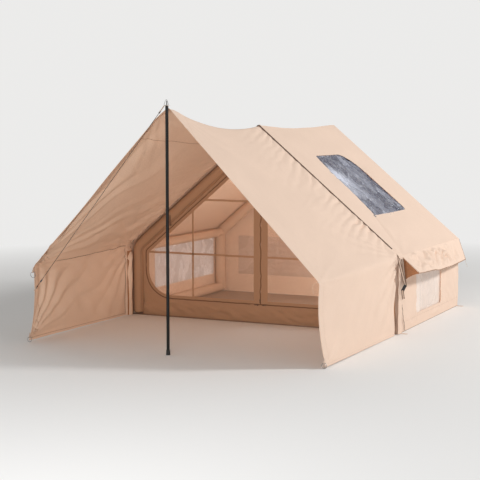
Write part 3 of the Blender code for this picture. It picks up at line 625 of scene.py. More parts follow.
def paintedMetal(name, colour, roughness=0.42, bare=(0.35, 0.34, 0.33), worn=0.74):
    # powder coat with a few spots rubbed bare, fewer for a higher worn
    finish = Finish(name, colour, roughness)
    where = finish.place()
    orange = finish.noise(where, 420.0, 2.0)
    rub = finish.noise(where, 30.0, 5.0, 0.7)
    bareSpot = rub > worn
    paint = finish.shades(finish.noise(where, 6.0, 3.0), colour, 0.8, 1.25)
    mixed = finish.blendColour(bareSpot, paint, bare)
    return finish.set(colour=mixed, metallic=bareSpot * 0.8, roughness=roughness + orange * 0.12,
                      normal=finish.bump(orange * 0.0001))


def brightMetal(name, colour):
    finish = Finish(name, colour, 0.28, Metallic=1.0)
    drawn = finish.noise(finish.place(), 90.0, 4.0, 0.6)
    mixed = finish.shades(drawn, colour, 0.8, 1.1)
    return finish.set(colour=mixed, roughness=0.2 + drawn * 0.25,
                      normal=finish.bump(drawn * 0.00008))


def mouldedFinish(name, colour, roughness=0.5, grain=220.0):
    finish = Finish(name, colour, roughness)
    where = finish.place()
    pebble = finish.noise(where, grain, 3.0, 0.6)
    cloudy = finish.noise(where, 12.0, 3.0)
    mixed = finish.shades(cloudy, colour, 0.85, 1.2, 1)
    return finish.set(colour=mixed, roughness=roughness - 0.05 + pebble * 0.15,
                      normal=finish.bump(pebble * 0.00015))


def twistedCord(name, colour, lay=0.006, radius=0.0022):
    # a braided cord: two sets of strands wind round the piece's own line
    finish = Finish(name, colour, 0.7)
    where = finish.place()
    x, y, z = finish.parts(where)
    along = (z + x * 0.7) * (2 * math.pi / lay)
    around = (y - x * 0.4) * (2 * math.pi / (radius * 3))
    strands = finish.maths("SINE", along + around) * finish.maths("SINE", along - around)
    fine = finish.noise(where, 400.0, 2.0)
    # the colour is lighter on the raised strands and darker in the grooves between them: painted
    # shade
    mixed = finish.shades(strands * 0.35 + 0.5, colour, 0.65, 1.3, 1)
    return finish.set(colour=mixed, roughness=0.65 + fine * 0.2,
                      normal=finish.bump(strands * 0.0004 + fine * 0.0002))


outerCloth = wovenCloth("outerCanvas", fabric["outer"], 0.90)
# the inner faces' warmer, more saturated tone is painted: it stands for light shining through the
# cloth and the shade inside
innerCloth = wovenCloth("innerCanvas", fabric["inner"], 0.88)
sleeveCloth = wovenCloth("sleeveCanvas", fabric["sleeve"], 0.91, puff=0.003, puffScale=14.0)
# a darker, more saturated copy of the sleeve cloth for the front arch, front wall and door bands:
# painted porch shade
porchShadeCloth = wovenCloth("porchCanvas", fabric["porch"], 0.90, puff=0.003, puffScale=14.0)
floorCloth = wovenCloth("floorSheet", fabric["floor"], 0.85, roughness=0.55, puff=0.004,
                        puffScale=6.0)
hemCloth = wovenCloth("hemCanvas", fabric["hem"], 0.92)
trimCloth = stitchedTrim("brownPiping", fabric["trim"], (0.42, 0.28, 0.19))
pipingTrim = stitchedTrim("foldPiping", (0.32, 0.175, 0.105), (0.45, 0.28, 0.18))
hemTrim = stitchedTrim("outerHemSeam", (0.78, 0.59, 0.465), (0.60, 0.43, 0.33))
innerTrim = stitchedTrim("innerHemSeam", (0.58, 0.35, 0.22), (0.42, 0.24, 0.15))
# dark brown cloth for the sheets of painted shade at the hoods' fronts and in the corner pleats
shadeSheetCloth = wovenCloth("paintedShadeSheet", (0.44, 0.20, 0.095), 0.85)
# the left window film glows a little: painted daylight through it
windowFilm = clearFilm("windowFilm", (0.97, 0.94, 0.925), (0.66, 0.58, 0.545), 0.80, 7.0, 0.22)
curtainFilm = clearFilm("curtainedFilm", (0.90, 0.77, 0.685), (0.84, 0.69, 0.595), 0.97, 2.0)
# the rear film is brown like the shaded wall round it: painted shade
rearFilmInShade = clearFilm("rearFilmInShade", (0.76, 0.56, 0.45), (0.66, 0.475, 0.375), 0.97, 2.5)
# skylight film: its dark navy tone and bright patch are painted reflections
skyReflectionFilm = clearFilm("skylightReflectionFilm", (0.70, 0.73, 0.85), (0.060, 0.062, 0.106), 0.95, 6.5, 0.0,
                    ((0.71, -0.18, 1.42), 0.36))
netCloth = netting("insectNet", (0.46, 0.31, 0.215))
webCloth = ribbedWeb("paleWebbing", (0.72, 0.56, 0.45))
darkWeb = ribbedWeb("brownWebbing", (0.17, 0.09, 0.055))
zipTape = zipTapeFinish("zipTape", (0.085, 0.040, 0.022))
doorZipTape = zipTapeFinish("doorZipTape", (0.21, 0.098, 0.052))
sliderMetal = paintedMetal("sliderBlack", (0.018, 0.016, 0.015), 0.35)
poleSteel = paintedMetal("poleBlack", (0.009, 0.009, 0.009), 0.5, worn=0.82)
poleSteel.node_tree.nodes["Principled BSDF"].inputs["Specular IOR Level"].default_value = 0.25
ringSteel = brightMetal("ringSteel", (0.33, 0.32, 0.31))
footRubber = mouldedFinish("footRubber", (0.022, 0.021, 0.021), 0.8, 180.0)
greyPlastic = mouldedFinish("valvePlastic", (0.10, 0.10, 0.105), 0.45)
blackPlastic = mouldedFinish("bucklePlastic", (0.016, 0.015, 0.016), 0.42)
ropeFinish = twistedCord("brownRope", (0.085, 0.045, 0.032))
paleCord = twistedCord("paleCord", (0.72, 0.62, 0.52), 0.004, 0.0016)
clothSides = (outerCloth, innerCloth)
print("tent: finishes made")


# Camera, at the photograph's place
cameraValues = {"place": (5.26, -12.55, 2.06), "turn": 25.42, "tilt": 5.43, "lens": 93.7,
                "sensor": 36.0}
deselectAll()
bpy.ops.object.camera_add(location=cameraValues["place"], rotation=(
    math.radians(90 - cameraValues["tilt"]), 0, math.radians(cameraValues["turn"])))
camera = bpy.context.object
camera.data.lens = cameraValues["lens"]
camera.data.sensor_width = cameraValues["sensor"]
camera.data.clip_end = 200
bpy.context.scene.camera = camera
bpy.context.scene.view_settings.view_transform = "Standard"


# Cords: the same routes as the frame's
cords = {"rope": {"top": (-0.07029, -2.96381, 2.14007), "low": (-1.38716, -2.95814, 0.52895),
                  "radius": 0.0022, "points": 30},
         "tie": {"front": (1.69373, -0.9897, 0.59661), "rear": (1.58792, 1.03, 0.52336),
                 "drop": 0.08, "lean": 0.02, "radius": 0.0016, "points": 17},
         "corner": {"start": (1.43, -2.9463, 0.725), "curl": 0.055, "turn": 135,
                    "forward": 0.032, "drop": 0.094, "radius": 0.0016, "points": 29}}


def cordAlong(name, points, radius):
    line = bpy.data.curves.new(name, "CURVE")
    line.dimensions = "3D"
    line.bevel_depth = radius
    line.bevel_resolution = 3
    line.use_fill_caps = True
    spline = line.splines.new("POLY")
    spline.points.add(len(points) - 1)
    for point, place in zip(spline.points, points):
        point.co = (*place, 1)
    cord = bpy.data.objects.new(name, line)
    bpy.context.scene.collection.objects.link(cord)
    return cord


ropeValues = cords["rope"]
ropePoints = straightLine(ropeValues["top"], ropeValues["low"], ropeValues["points"])
guyRope = cordAlong("guyRopeLine", ropePoints, ropeValues["radius"])
dress(guyRope, ropeFinish, "tent", "cord", "guy_rope")

values = cords["tie"]
for end in ("front", "rear"):
    start = values[end]
    share = np.linspace(0, 1, values["points"])
    lean = values["lean"] * np.sin(math.pi * share / 2) * share
    points = pointsOf(start[0] + lean, start[1] + lean / 2, start[2] - values["drop"] * share)
    tie = cordAlong("hood" + end.title() + "TieCord", points, values["radius"])
    dress(tie, paleCord, "right_hood", "cord", "right_hood_" + end + "_tie")

values = cords["corner"]
share = np.linspace(0, 1, values["points"])
start, turn = values["start"], math.radians(values["turn"]) * share
cornerPoints = pointsOf(start[0] - values["curl"] * np.sin(turn),
                        start[1] - values["forward"] * share,
                        start[2] - values["drop"] * share * share)
cornerCord = cordAlong("cornerCordLine", cornerPoints, values["radius"])
dress(cornerCord, paleCord, "tent", "cord", "right_corner_cord")
print("tent: camera and cords placed")


# Canopy: one sheet from wing to wing
canopy = {"columns": 400, "rows": 110, "thickness": 0.0018, "frontY": -2.944, "peak": 2.198,
          "ridgeSag": 0.095, "foldHalf": 1.43, "foldHeight": 0.725, "foldSag": 0.015,
          "tipHalf": 1.49, "tipHeight": 0.014, "footHeight": 0.003, "pleat": 0.12,
          "pleatDepth": 0.045, "pleatRows": 0.12, "hollow": 0.035, "wingShare": 0.272,
          "puckerPitch": 0.11, "puckerRun": 0.30, "hemShare": 0.935, "width": 5.44,
          "length": 1.91}


def canopyEdges(forward):
    y = mixPoints(tent["frontY"] - tent["gap"], canopy["frontY"], forward)
    ridge = pointsOf(0, y, mixPoints(tent["ridge"] - 0.002, canopy["peak"], forward)
                     - canopy["ridgeSag"] * swell(forward))
    fold = pointsOf(mixPoints(tent["halfWidth"], canopy["foldHalf"], forward), y,
                    mixPoints(tent["eave"], canopy["foldHeight"], forward)
                    - canopy["foldSag"] * swell(forward))
    foot = pointsOf(mixPoints(tent["halfWidth"], canopy["tipHalf"], forward), y,
                    mixPoints(canopy["footHeight"], canopy["tipHeight"], forward))
    return ridge, fold, foot


def canopyPlace(s, t):
    # the first rows lie close together, in the pleat beside the arch
    first, share = canopy["pleatRows"], canopy["pleat"] / canopy["length"]
    t = np.where(t < first, t / first * share,
                 share + (t - first) / (1 - first) * (1 - share))
    side = np.where(s < 0.5, -1.0, 1.0)
    out = np.abs(s - 0.5) * 2
    roofEnd = 1 - canopy["wingShare"]
    across = np.clip(out / roofEnd, 0, 1)
    down = np.clip((out - roofEnd) / canopy["wingShare"], 0, 1)
    ridge, fold, foot = canopyEdges(t)
    points = mixPoints(mixPoints(ridge, fold, across[..., None]), foot, down[..., None])
    points[..., 0] -= canopy["hollow"] * swell(down) * t
    pleat = swell(np.clip(t * canopy["length"] / canopy["pleat"], 0, 1))
    points[..., 0] -= canopy["pleatDepth"] * pleat * ease(down * 5)
    points[..., 0] *= side
    points = relax(points, 5, 1)
    normal = clothNormals(points)
    u = (s - 0.5) * canopy["width"]
    v = t * canopy["length"]
    roof = 1 - ease(down * 6)
    wing = ease(down * 5)
    left = ease((0.5 - s) * 30)
    right = 1 - left
    foldU = canopy["width"] / 2 * roofEnd
    front = canopy["length"]
    # puckers beside the zip, stronger low down
    held = ease(v / 0.03)
    phase = (math.pi * (u - 0.35 * v * np.sign(u)) / canopy["puckerPitch"]
             + 1.2 * ripple(u, v * 0.5, 0.8, 3) + 0.5 * ripple(u, v, 0.3, 4))
    depth = (0.016 + 0.018 * across ** 1.3) * (0.75 + 0.4 * ripple(u, v * 0, 0.37, 17))
    lift = ((0.5 - np.abs(np.sin(phase))) * depth * held * np.exp(-v / canopy["puckerRun"])
            * roof)
    # long folds pulled between the corner rings and the arch
    pull = fans(u, v, ((0.026, left, (-foldU, front), 15, 1.2, 5),
                       (0.012, left, (-foldU, 0), 13, 0.9, 15),
                       (0.0045, right, (foldU, front), 11, 0.8, 6),
                       (0.0080, right, (foldU, 0), 15, 0.5, 16),
                       (0.0050, 1, (0, front), 13, 0.7, 7)))
    pull += 0.0050 * ripple(u, v * 0.6, 0.7, 8) * swell(across)
    lift = lift + pull * roof * ease(v / 0.08)
    # the guy strap pulls the left slope out beside the peak
    lift = lift - 0.085 * left * ease(t * 1.2) * np.exp(-across * 1.5) * ease(across * 24)
    # side wings: folds from the pegged tip and from the rear top
    tip = canopy["width"] / 2
    drape = fans(u, v, ((0.030, left, (-tip, front), 12, 1.4, 9),
                        (0.014, left, (-foldU, 0), 11, 0.8, 10),
                        (0.004, right, (tip, front), 7, 0.8, 11),
                        (0.030, right, (foldU, 0), 12, 0.40, 12, 0.06)))
    lift = lift + wing * (drape * held + 0.0035 * ripple(u, v, 0.28, 13))
    # hems stay flatter
    edge = ease(np.minimum(1 - t, 1 - down * 0.999) * 14)
    lift = lift * (0.25 + 0.75 * edge)
    points = points + normal * lift[..., None]
    # the zip pulls the rear edge into scallops
    points[..., 1] -= 0.010 * np.abs(np.sin(phase * 0.5 + 0.6)) * np.exp(-v / 0.03) * roof
    # the wide front hem tips forward and down
    hem = ease((t - canopy["hemShare"]) / (1 - canopy["hemShare"]))
    points[..., 2] -= 0.012 * hem * roof
    return points


canopyCloth = layCloth("canopyCloth", canopy["columns"], canopy["rows"], canopyPlace,
                       (canopy["width"], canopy["length"]), thickness=canopy["thickness"],
                       sides=2, flip=True)
dress(canopyCloth, clothSides, "tent", "canopy_canvas", "left_canopy_roof", "right_canopy_roof",
      "left_canopy_wing", "right_canopy_wing")
print("tent: canopy laid")


# Body roof: two panels, the right one with its skylight
roof = {"columns": 100, "rows": 110, "under": 0.0022, "thickness": 0.0018, "ridgeX": 0.0016,
        "bayFront": -0.9297, "bayRear": 0.9254, "skyTop": 0.46, "skyBottom": 1.4,
        "skyTopFront": -0.39, "skyBottomFront": -0.55, "skyRear": 0.46, "skyRadius": 0.04,
        "skyCut": 0.24, "skyLap": 0.018, "skyUnder": 0.0058, "length": 2.1, "width": 1.959}
outward = np.array([math.sin(slope), 0, math.cos(slope)])


def roofSurface(side, down, y, offset):
    # down is metres from the ridge along the slope
    share = down / roof["width"]
    x = side * (roof["ridgeX"] + (tent["halfWidth"] - roof["ridgeX"]) * share)
    span = np.clip((y - roof["bayFront"]) / (roof["bayRear"] - roof["bayFront"]), 0, 1)
    z = tent["ridge"] - np.abs(x) * math.tan(slope) - offset / math.cos(slope)
    z = z - tent["roofSag"] * swell(span) * (1 - share)
    return pointsOf(x, y, z)


def roofLift(down, y, seed):
    inside = ease((y - roof["bayFront"]) / 0.25) * ease((roof["bayRear"] - y) / 0.25)
    lift = 0.0035 * ripple(down, y, 0.55, seed)
    for step, corner in enumerate((-1.0, 1.0)):
        lift += 0.004 * fan(down, y, (roof["width"], corner), 12, 0.5, seed + 1 + step)
    return lift * inside


def leftRoofPlace(s, t):
    down = s * roof["width"]
    y = tent["frontY"] + t * roof["length"]
    points = roofSurface(-1, down, y, roof["under"])
    return points - clothNormals(points) * roofLift(down, y, 21)[..., None]


leftRoofCloth = layCloth("leftRoofCloth", roof["columns"], roof["rows"], leftRoofPlace,
                         (roof["width"], roof["length"]), thickness=roof["thickness"], sides=2,
                         flip=True)
skyCorners = [(roof["skyTop"], roof["skyTopFront"]), (roof["skyBottom"], roof["skyBottomFront"]),
              (roof["skyBottom"], roof["skyRear"]), (roof["skyTop"], roof["skyRear"])]
skyLoop = roundedLoop(skyCorners, [roof["skyRadius"]] * 3 + [roof["skyCut"]], 8,
                      [60, 60, 60, 60])
roofLoop = roundedLoop([(0, tent["frontY"]), (roof["width"], tent["frontY"]),
                        (roof["width"], tent["rearY"]), (0, tent["rearY"])], [0] * 4, 8,
                       [60, 60, 60, 60])


def ringShares(outer, inner, s, t, bias=1.0):
    # a point between two matched outlines: s goes inwards, t goes round
    step = np.round(t[:, 0] * (len(outer) - 1)).astype(int)
    return outer[step][:, None] + (inner[step] - outer[step])[:, None] * (s ** bias)[..., None]


def rightRoofPlace(s, t):
    at = ringShares(roofLoop, skyLoop, s, t)
    down, y = at[..., 0], at[..., 1]
    points = roofSurface(1, down, y, roof["under"])
    rim = np.exp(-(1 - s) / 0.12)
    lift = roofLift(down, y, 31)
    lift += 0.0011 * rim * np.sin(t * 2 * math.pi * 34 + 2 * ripple(down, y, 0.4, 33))
    # a crease from the skylight's low front corner to the eave
    away = np.abs((y + 0.62) * 0.86 + (down - 1.5) * 0.5)
    lift -= (0.010 * np.exp(-(away / 0.03) ** 2) * ease((down - 1.35) / 0.1)
             * ease((roof["width"] - down) / 0.08))
    return points + outward * lift[..., None]


rightRoofCloth = layCloth("rightRoofCloth", 26, len(roofLoop) - 1, rightRoofPlace, (1.0, 1.0),
                          looped=True, thickness=roof["thickness"], sides=2, flip=True)
for piece, node, area in ((leftRoofCloth, "left_roof_panel", None),
                          (rightRoofCloth, "right_roof_panel", 3.24)):
    dress(piece, clothSides, "tent", "canvas", node)
print("tent: roof laid")


# Tapes sewn on laid cloth
def seamOn(name, cloth, route, width, lift=0.0012, thickness=0.0009, columns=2, wave=0.0,
           under=False, spacing=0.02):
    # a tape sewn along a route of (across, along) shares on a laid cloth
    points = laid[cloth]
    normal = clothNormals(points)
    rows, across = points.shape[:2]
    route = np.array(route, float)
    fine = np.concatenate([straightLine(a, b, 60)[:-1] for a, b in zip(route, route[1:])]
                          + [route[-1:]])
    column = np.clip(fine[:, 0] * (across - 1), 0, across - 1.001)
    row = np.clip(fine[:, 1] * (rows - 1), 0, rows - 1.001)
    c, r = column.astype(int), row.astype(int)
    fc, fr = (column - c)[:, None], (row - r)[:, None]

    def between(field):
        return ((field[r, c] * (1 - fc) + field[r, c + 1] * fc) * (1 - fr)
                + (field[r + 1, c] * (1 - fc) + field[r + 1, c + 1] * fc) * fr)

    ups = between(normal) * (-1 if under else 1)
    path = between(points) + ups * lift
    return layStrip(name, path, ups, width, columns=columns, spacing=spacing,
                    thickness=thickness, wave=wave)


def trimOn(name, cloth, routes, width, material, body="tent", **values):
    # several seams of one cloth as one piece
    strips = [seamOn(name, cloth, route, width, **values) for route in routes]
    piece = joinPieces(name, strips)
    dress(piece, material, body, "canvas")
    return piece


# Canopy seams: hems and their doubled bands
wingS = canopy["wingShare"] / 2
hemRun = [(wingS, 0.996), (0.5, 0.996), (1 - wingS, 0.996)]
canopyHems = [[(0.006, 0.996), *hemRun, (0.994, 0.996)],
              [(0.006, 0.955), (wingS, 0.955)], [(1 - wingS, 0.955), (0.994, 0.955)],
              [(0.004, 0.12), (0.004, 0.99)], [(0.996, 0.12), (0.996, 0.99)]]
peakPatch = [(0.436, 0.99), (0.5, 0.86), (0.564, 0.99)]
bandEdge = [(wingS, 0.948), (0.5, 0.948), (1 - wingS, 0.948)]
panelSeam = [(0.424, 0.94), (0.438, 0.70), (0.446, 0.50), (0.452, 0.05)]
trimOn("canopySeams", "canopyCloth", canopyHems + [peakPatch], 0.004, hemTrim, lift=-0.0013,
       thickness=0.0006)
trimOn("canopyUnderSeams", "canopyCloth",
       canopyHems + [bandEdge, [(1 - wingS, 0.03), (1 - wingS, 0.99)], panelSeam],
       0.005, innerTrim, lift=-0.0016, under=True)
trimOn("foldPiping", "canopyCloth",
       [[(wingS, 0.13), (wingS, 0.80)], [(0.004, 0.125), (wingS - 0.006, 0.125)],
        [(0.004, 0.012), (wingS - 0.006, 0.012)]], 0.006, pipingTrim, lift=-0.0018, under=True)
trimOn("canopyHemBand", "canopyCloth",
       [[(wingS + 0.004, 0.972), (0.5, 0.972), (1 - wingS - 0.004, 0.972)]],
       0.075, hemCloth, lift=-0.0013, thickness=0.0007, columns=6, under=True)


# Walls: cloth rings round their windows
walls = {"thickness": 0.0016, "outX": 1.4985, "top": 0.7544, "leftLow": 0.24,
         "rightLow": 0.13, "windowHigh": 0.665, "windowRadius": 0.03, "overlap": 0.018,
         "leftWindow": (-0.51, 0.9), "rightWindow": (-0.5, 0.36), "rearHalf": 1.2,
         "filmX": 1.4960, "filmY": 1.0445, "rearY": 1.0480, "seamHeight": 0.1,
         "gableX": 1.4957, "gableEave": 0.758, "gableTop": 2.0144, "filmPitch": 0.012,
         "filmThickness": 0.0005}


def wallFilm(word, low, high, place, flip, seed, material):
    # a crumpled pane in one wall, flat where it is sewn
    width, length = high[0] - low[0], high[1] - low[1]

    def panePlace(s, t):
        u, v = low[0] + s * width, low[1] + t * length
        inner = ease(np.minimum(np.minimum(s, 1 - s) * width, np.minimum(t, 1 - t) * length) / 0.05)
        lift = (0.007 * crease(u, v, 0.20, seed) + 0.0035 * crease(u, v, 0.08, seed + 3)) * inner
        return place(u, v, lift)

    columns, rows = int(width / walls["filmPitch"]), int(length / walls["filmPitch"])
    pane = layCloth(word + "WindowFilm", columns, rows, panePlace, (width, length),
                    thickness=walls["filmThickness"], flip=flip)
    dress(pane, material, "tent", "clear_film", word + "_window_film")


def wallX(side, y, z):
    free = ease((y + 1.0) / 0.12) * ease((z - 0.01) / 0.05) * ease((0.75 - z) / 0.05)
    free = free * (1 - 0.78 * ease((z - 0.40) / 0.10))  # flatter where the hood hangs
    lift = 0.003 + 0.0060 * crease(y, z, 0.30, 41 + side)
    lift += 0.006 * fan(y, z, (tent["rearY"], 0.0), 10, 0.5, 43 + side)
    lift += 0.006 * fan(y, z, (tent["frontY"], tent["eave"]), 11, 0.4, 44 + side)
    return walls["outX"] + np.clip(lift, 0, 0.012) * free


for (side, word), area in zip(bothSides, (0.99, 1.12)):
    (windowFront, windowRear), windowLow = walls[word + "Window"], walls[word + "Low"]
    wallLoop = roundedLoop([(tent["frontY"], tent["floorTop"]), (tent["rearY"], tent["floorTop"]),
                            (tent["rearY"], walls["top"]), (tent["frontY"], walls["top"])],
                           [0] * 4, 8, [90, 40, 90, 40])
    windowLoop = roundedLoop([(windowFront, windowLow), (windowRear, windowLow),
                              (windowRear, walls["windowHigh"]),
                              (windowFront, walls["windowHigh"])],
                             [walls["windowRadius"]] * 4, 8, [90, 40, 90, 40])

    def wallPlace(s, t, side=side, wallLoop=wallLoop, windowLoop=windowLoop):
        at = ringShares(wallLoop, windowLoop, s, t)
        y, z = at[..., 0], at[..., 1]
        x = wallX(side, y, z) + 0.0012 * np.sin(t * 440) * np.exp(-(1 - s) / 0.1) * ease(s * 5)
        return pointsOf(side * x, y, z)

    # the right window's blind is closed: its film hangs in even folds
    def filmPlace(u, v, lift, side=side):
        folds = 0.002 * (1 + np.sin(u * 21 + 1.2 * np.sin(v * 3))) if side > 0 else 0
        return pointsOf(side * (walls["filmX"] - np.abs(lift) * (0.5 if side > 0 else 1.2)
                                - folds), u, v)

    wall = layCloth(word + "WallCloth", 24, len(wallLoop) - 1, wallPlace, (1.0, 1.0), looped=True,
                    thickness=walls["thickness"], sides=2, flip=side > 0)
    dress(wall, clothSides, "tent", "canvas", word + "_wall")
    lap = walls["overlap"]
    wallFilm(word, (windowFront - lap, windowLow - lap), (windowRear + lap,
             walls["windowHigh"] + lap), filmPlace, side < 0, 60 + side,
             windowFilm if side < 0 else curtainFilm)
    ys = np.linspace(-0.97, 1.03, 120)
    seamLine = pointsOf(side * (wallX(side, ys, walls["seamHeight"]) + 0.0016), ys,
                        walls["seamHeight"])
    seam = layStrip(word + "WallSeam", seamLine, (side, 0, 0), 0.006, thickness=0.0009)
    dress(seam, hemTrim, "tent", "canvas")

gableX, half = walls["gableX"], walls["rearHalf"]
rearLoop = roundedLoop([(-gableX, tent["floorTop"]), (gableX, tent["floorTop"]),
                        (gableX, walls["gableEave"]), (0, walls["gableTop"]),
                        (-gableX, walls["gableEave"])], [0] * 5, 6, [110, 40, 90, 90, 40])
rearHole = roundedLoop([(-half, walls["leftLow"]), (half, walls["leftLow"]),
                        (half, walls["windowHigh"]), (0, walls["windowHigh"]),
                        (-half, walls["windowHigh"])],
                       [walls["windowRadius"]] * 3 + [0, walls["windowRadius"]], 6,
                       [110, 40, 90, 90, 40])


def rearPlace(s, t):
    at = ringShares(rearLoop, rearHole, s, t)
    x, z = at[..., 0], at[..., 1]
    free = ease((z - 0.01) / 0.06) * ease(s / 0.08)
    lift = 0.004 + 0.004 * crease(x, z, 0.42, 47) + 0.003 * fan(x, z, (0, 2.0), 14, 0.8, 48)
    return pointsOf(x, walls["rearY"] + np.clip(lift, 0, 0.009) * free, z)


def rearFilmPlace(u, v, lift):
    folds = 0.003 * np.abs(np.sin(v * 46 + np.sin(u * 3)))
    return pointsOf(u, walls["filmY"] - np.abs(lift) - folds, v)


rearWallCloth = layCloth("rearWallCloth", 44, len(rearLoop) - 1, rearPlace, (1.0, 1.0),
                         looped=True, thickness=walls["thickness"], sides=2)
dress(rearWallCloth, clothSides, "tent", "canvas", "rear_wall")
lap = walls["overlap"]
wallFilm("rear", (-half - lap, walls["leftLow"] - lap), (half + lap, walls["windowHigh"] + lap),
         rearFilmPlace, True, 70, rearFilmInShade)


skyLong = roof["skyBottom"] - roof["skyTop"]


def skyPanePlace(s, t):
    down = roof["skyTop"] - roof["skyLap"] + s * (skyLong + 2 * roof["skyLap"])
    frontEdge = mixPoints(roof["skyTopFront"], roof["skyBottomFront"],
                          np.clip((down - roof["skyTop"]) / skyLong, 0, 1)) - roof["skyLap"]
    y = mixPoints(frontEdge, roof["skyRear"] + roof["skyLap"], t)
    inner = ease(np.minimum(np.minimum(s, 1 - s), np.minimum(t, 1 - t)) / 0.06)
    points = roofSurface(1, down, y, roof["skyUnder"])
    lift = (0.016 * crease(down, y, 0.30, 81) + 0.007 * crease(down, y, 0.11, 82)) * inner
    return points - outward * np.abs(lift)[..., None]


skyPane = layCloth("skylightPane", 84, 84, skyPanePlace, (0.976, 1.0),
                   thickness=walls["filmThickness"])
dress(skyPane, skyReflectionFilm, "tent", "clear_film", "skylight_film")
print("tent: walls and windows laid")


# Hoods over the side windows
hood = {"x": 1.5023, "frontY": -1.0097, "length": 2.0597, "width": 0.25, "bow": 0.02,
        "frontAngle": 50, "rearAngle": 20, "lower": 15, "foldDepth": 0.012, "folds": 3,
        "shadeSheetWall": 0.26, "shadeSheetBow": 0.012, "shadeSheetSag": 0.02}


def hoodPlaceFor(side):
    def place(s, t):
        angle = np.radians(hood["frontAngle"] + (hood["rearAngle"] - hood["frontAngle"]) * ease(t))
        reach = hood["width"] * s
        fold = (hood["foldDepth"] * np.sin(2 * math.pi * (hood["folds"] * t + s / 2))
                * swell(t) * s)
        u, v = s * hood["width"], t * hood["length"]
        fold = fold + ease(s * 6) * (1 - 0.85 * ease((s - 0.7) * 4)) * ease(t * 7) * ease(
            (1 - t) * 7) * (0.026 * crease(u, v, 0.21, 91 + side) + 0.008 * crease(u, v, 0.085, 93))
        # room that is left when the hood hangs at its lower limit
        lowest = angle - math.radians(hood["lower"])
        fold = np.maximum(fold, 0.0012 - 0.75 * reach * np.sin(lowest))
        x = hood["x"] + reach * np.sin(angle) + fold * np.cos(angle)
        z = (tent["eave"] - reach * np.cos(angle) - hood["bow"] * swell(t) * s
             + fold * np.sin(angle))
        return pointsOf(side * x, hood["frontY"] + hood["length"] * t, z)
    return place


for side, word in bothSides:
    hoodCloth = layCloth(word + "HoodCloth", 24, 150, hoodPlaceFor(side),
                         (hood["width"], hood["length"]), thickness=0.0018, sides=2,
                         flip=side < 0)
    dress(hoodCloth, clothSides, word + "_hood", "canvas", word + "_window_hood")
    # the hem's dark piping is partly a real hem and partly painted shade for the shadow under the
    # hood's edge
    hem = trimOn(word + "HoodHem", hoodCloth.name, [[(0.985, 0.004), (0.985, 0.996)],
                                                    [(0.03, 0.004), (0.985, 0.004)],
                                                    [(0.03, 0.996), (0.985, 0.996)]], 0.008,
                 pipingTrim, body=word + "_hood", lift=0.0014 * side)


# Dark brown sheets that close each hood's front end, painted shade: they bend between the tent and
# the hood
def shadeSheetPlaceFor(side):
    def place(s, t):
        angle = np.radians(hood["frontAngle"])
        wallEnd = pointsOf(hood["x"] + 0.002, hood["frontY"] + 0.014,
                           tent["eave"] - 0.006 - hood["shadeSheetWall"] * t)
        reach = hood["width"] * 0.985 * t
        hoodEnd = pointsOf(hood["x"] + reach * math.sin(angle), hood["frontY"] + 0.005,
                           tent["eave"] - 0.004 - reach * math.cos(angle))
        points = mixPoints(wallEnd, hoodEnd, s[..., None])
        bow = hood["shadeSheetBow"] * (1 + 0.5 * ripple(s, t, 0.5, 19))
        points[..., 1] += bow * swell(s) * t
        points[..., 2] += hood["shadeSheetSag"] * swell(s) * t * t
        points[..., 0] *= side
        return points
    return place


for side, word in bothSides:
    shadeSheet = layCloth(word + "HoodGusset", 16, 24, shadeSheetPlaceFor(side), (0.2, 0.25),
                      thickness=0.0012, flip=side > 0)
    finishWith(shadeSheet, shadeSheetCloth)
    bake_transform(shadeSheet)


# Air beams in their sleeves
beams = {"eave": (1.4207, 0.7231), "eaveRadius": 0.05, "floorHeight": 0.0593,
         "floorRadius": 0.055, "inset": 0.0643, "bend": 0.16, "seamRadius": 0.0592,
         "saddle": 0.0604, "fill": 0.95}


def roofLine(x, offset):
    # the height of a line that runs offset under the roof
    return (tent["eave"] + (tent["halfWidth"] - abs(x)) * math.tan(slope)
            - offset / math.cos(slope))


archEave, archRidge = roofLine(tent["postX"], beams["inset"]), roofLine(0, beams["inset"])


def archRoute(y):
    return roundedRun([(-tent["postX"], y, tent["floorTop"]), (-tent["postX"], y, archEave),
                       (0, y, archRidge), (tent["postX"], y, archEave),
                       (tent["postX"], y, tent["floorTop"])], [0] + [beams["bend"]] * 3 + [0],
                      14)


def archWrinkle(seed):
    def wrinkle(turn, run, centre):
        eaveAway = np.hypot(np.abs(centre[:, 0]) - beams["eave"][0],
                            centre[:, 2] - beams["eave"][1])[:, None]
        topAway = np.hypot(centre[:, 0], centre[:, 2] - archRidge)[:, None]
        inner = np.clip(-np.cos(turn), 0, 1)
        bend = np.exp(-(eaveAway / 0.16) ** 2) + np.exp(-(topAway / 0.15) ** 2)
        pleat = np.abs(np.sin(math.pi * run / 0.034 + 0.5 * np.sin(turn * 2)))
        soft = ripple(np.cos(turn) * 0.06 + run, np.sin(turn) * 0.06, 0.16, seed)
        return (-0.006 * bend * inner * pleat - 0.0012 + 0.0011 * soft
                - 0.0015 * np.exp(-(eaveAway / 0.3) ** 2) * pleat * (1 - inner))
    return wrinkle


def tubeSeams(name, path, turns):
    # sewn tapes along a sleeve, at turns round it
    path = evenly(path, np.linspace(0.01, 0.99, 240))
    flatWay = np.array((0, 1.0, 0))
    out = np.cross(tangentsOf(path), flatWay)
    strips = []
    for turn in np.radians(turns):
        ups = out * math.cos(turn) + flatWay * math.sin(turn)
        strips.append(layStrip(name, path + ups * (beams["seamRadius"] + 0.0006), ups, 0.007,
                               thickness=0.0009))
    dress(joinPieces(name, strips), trimCloth, "tent", "sleeve_canvas")


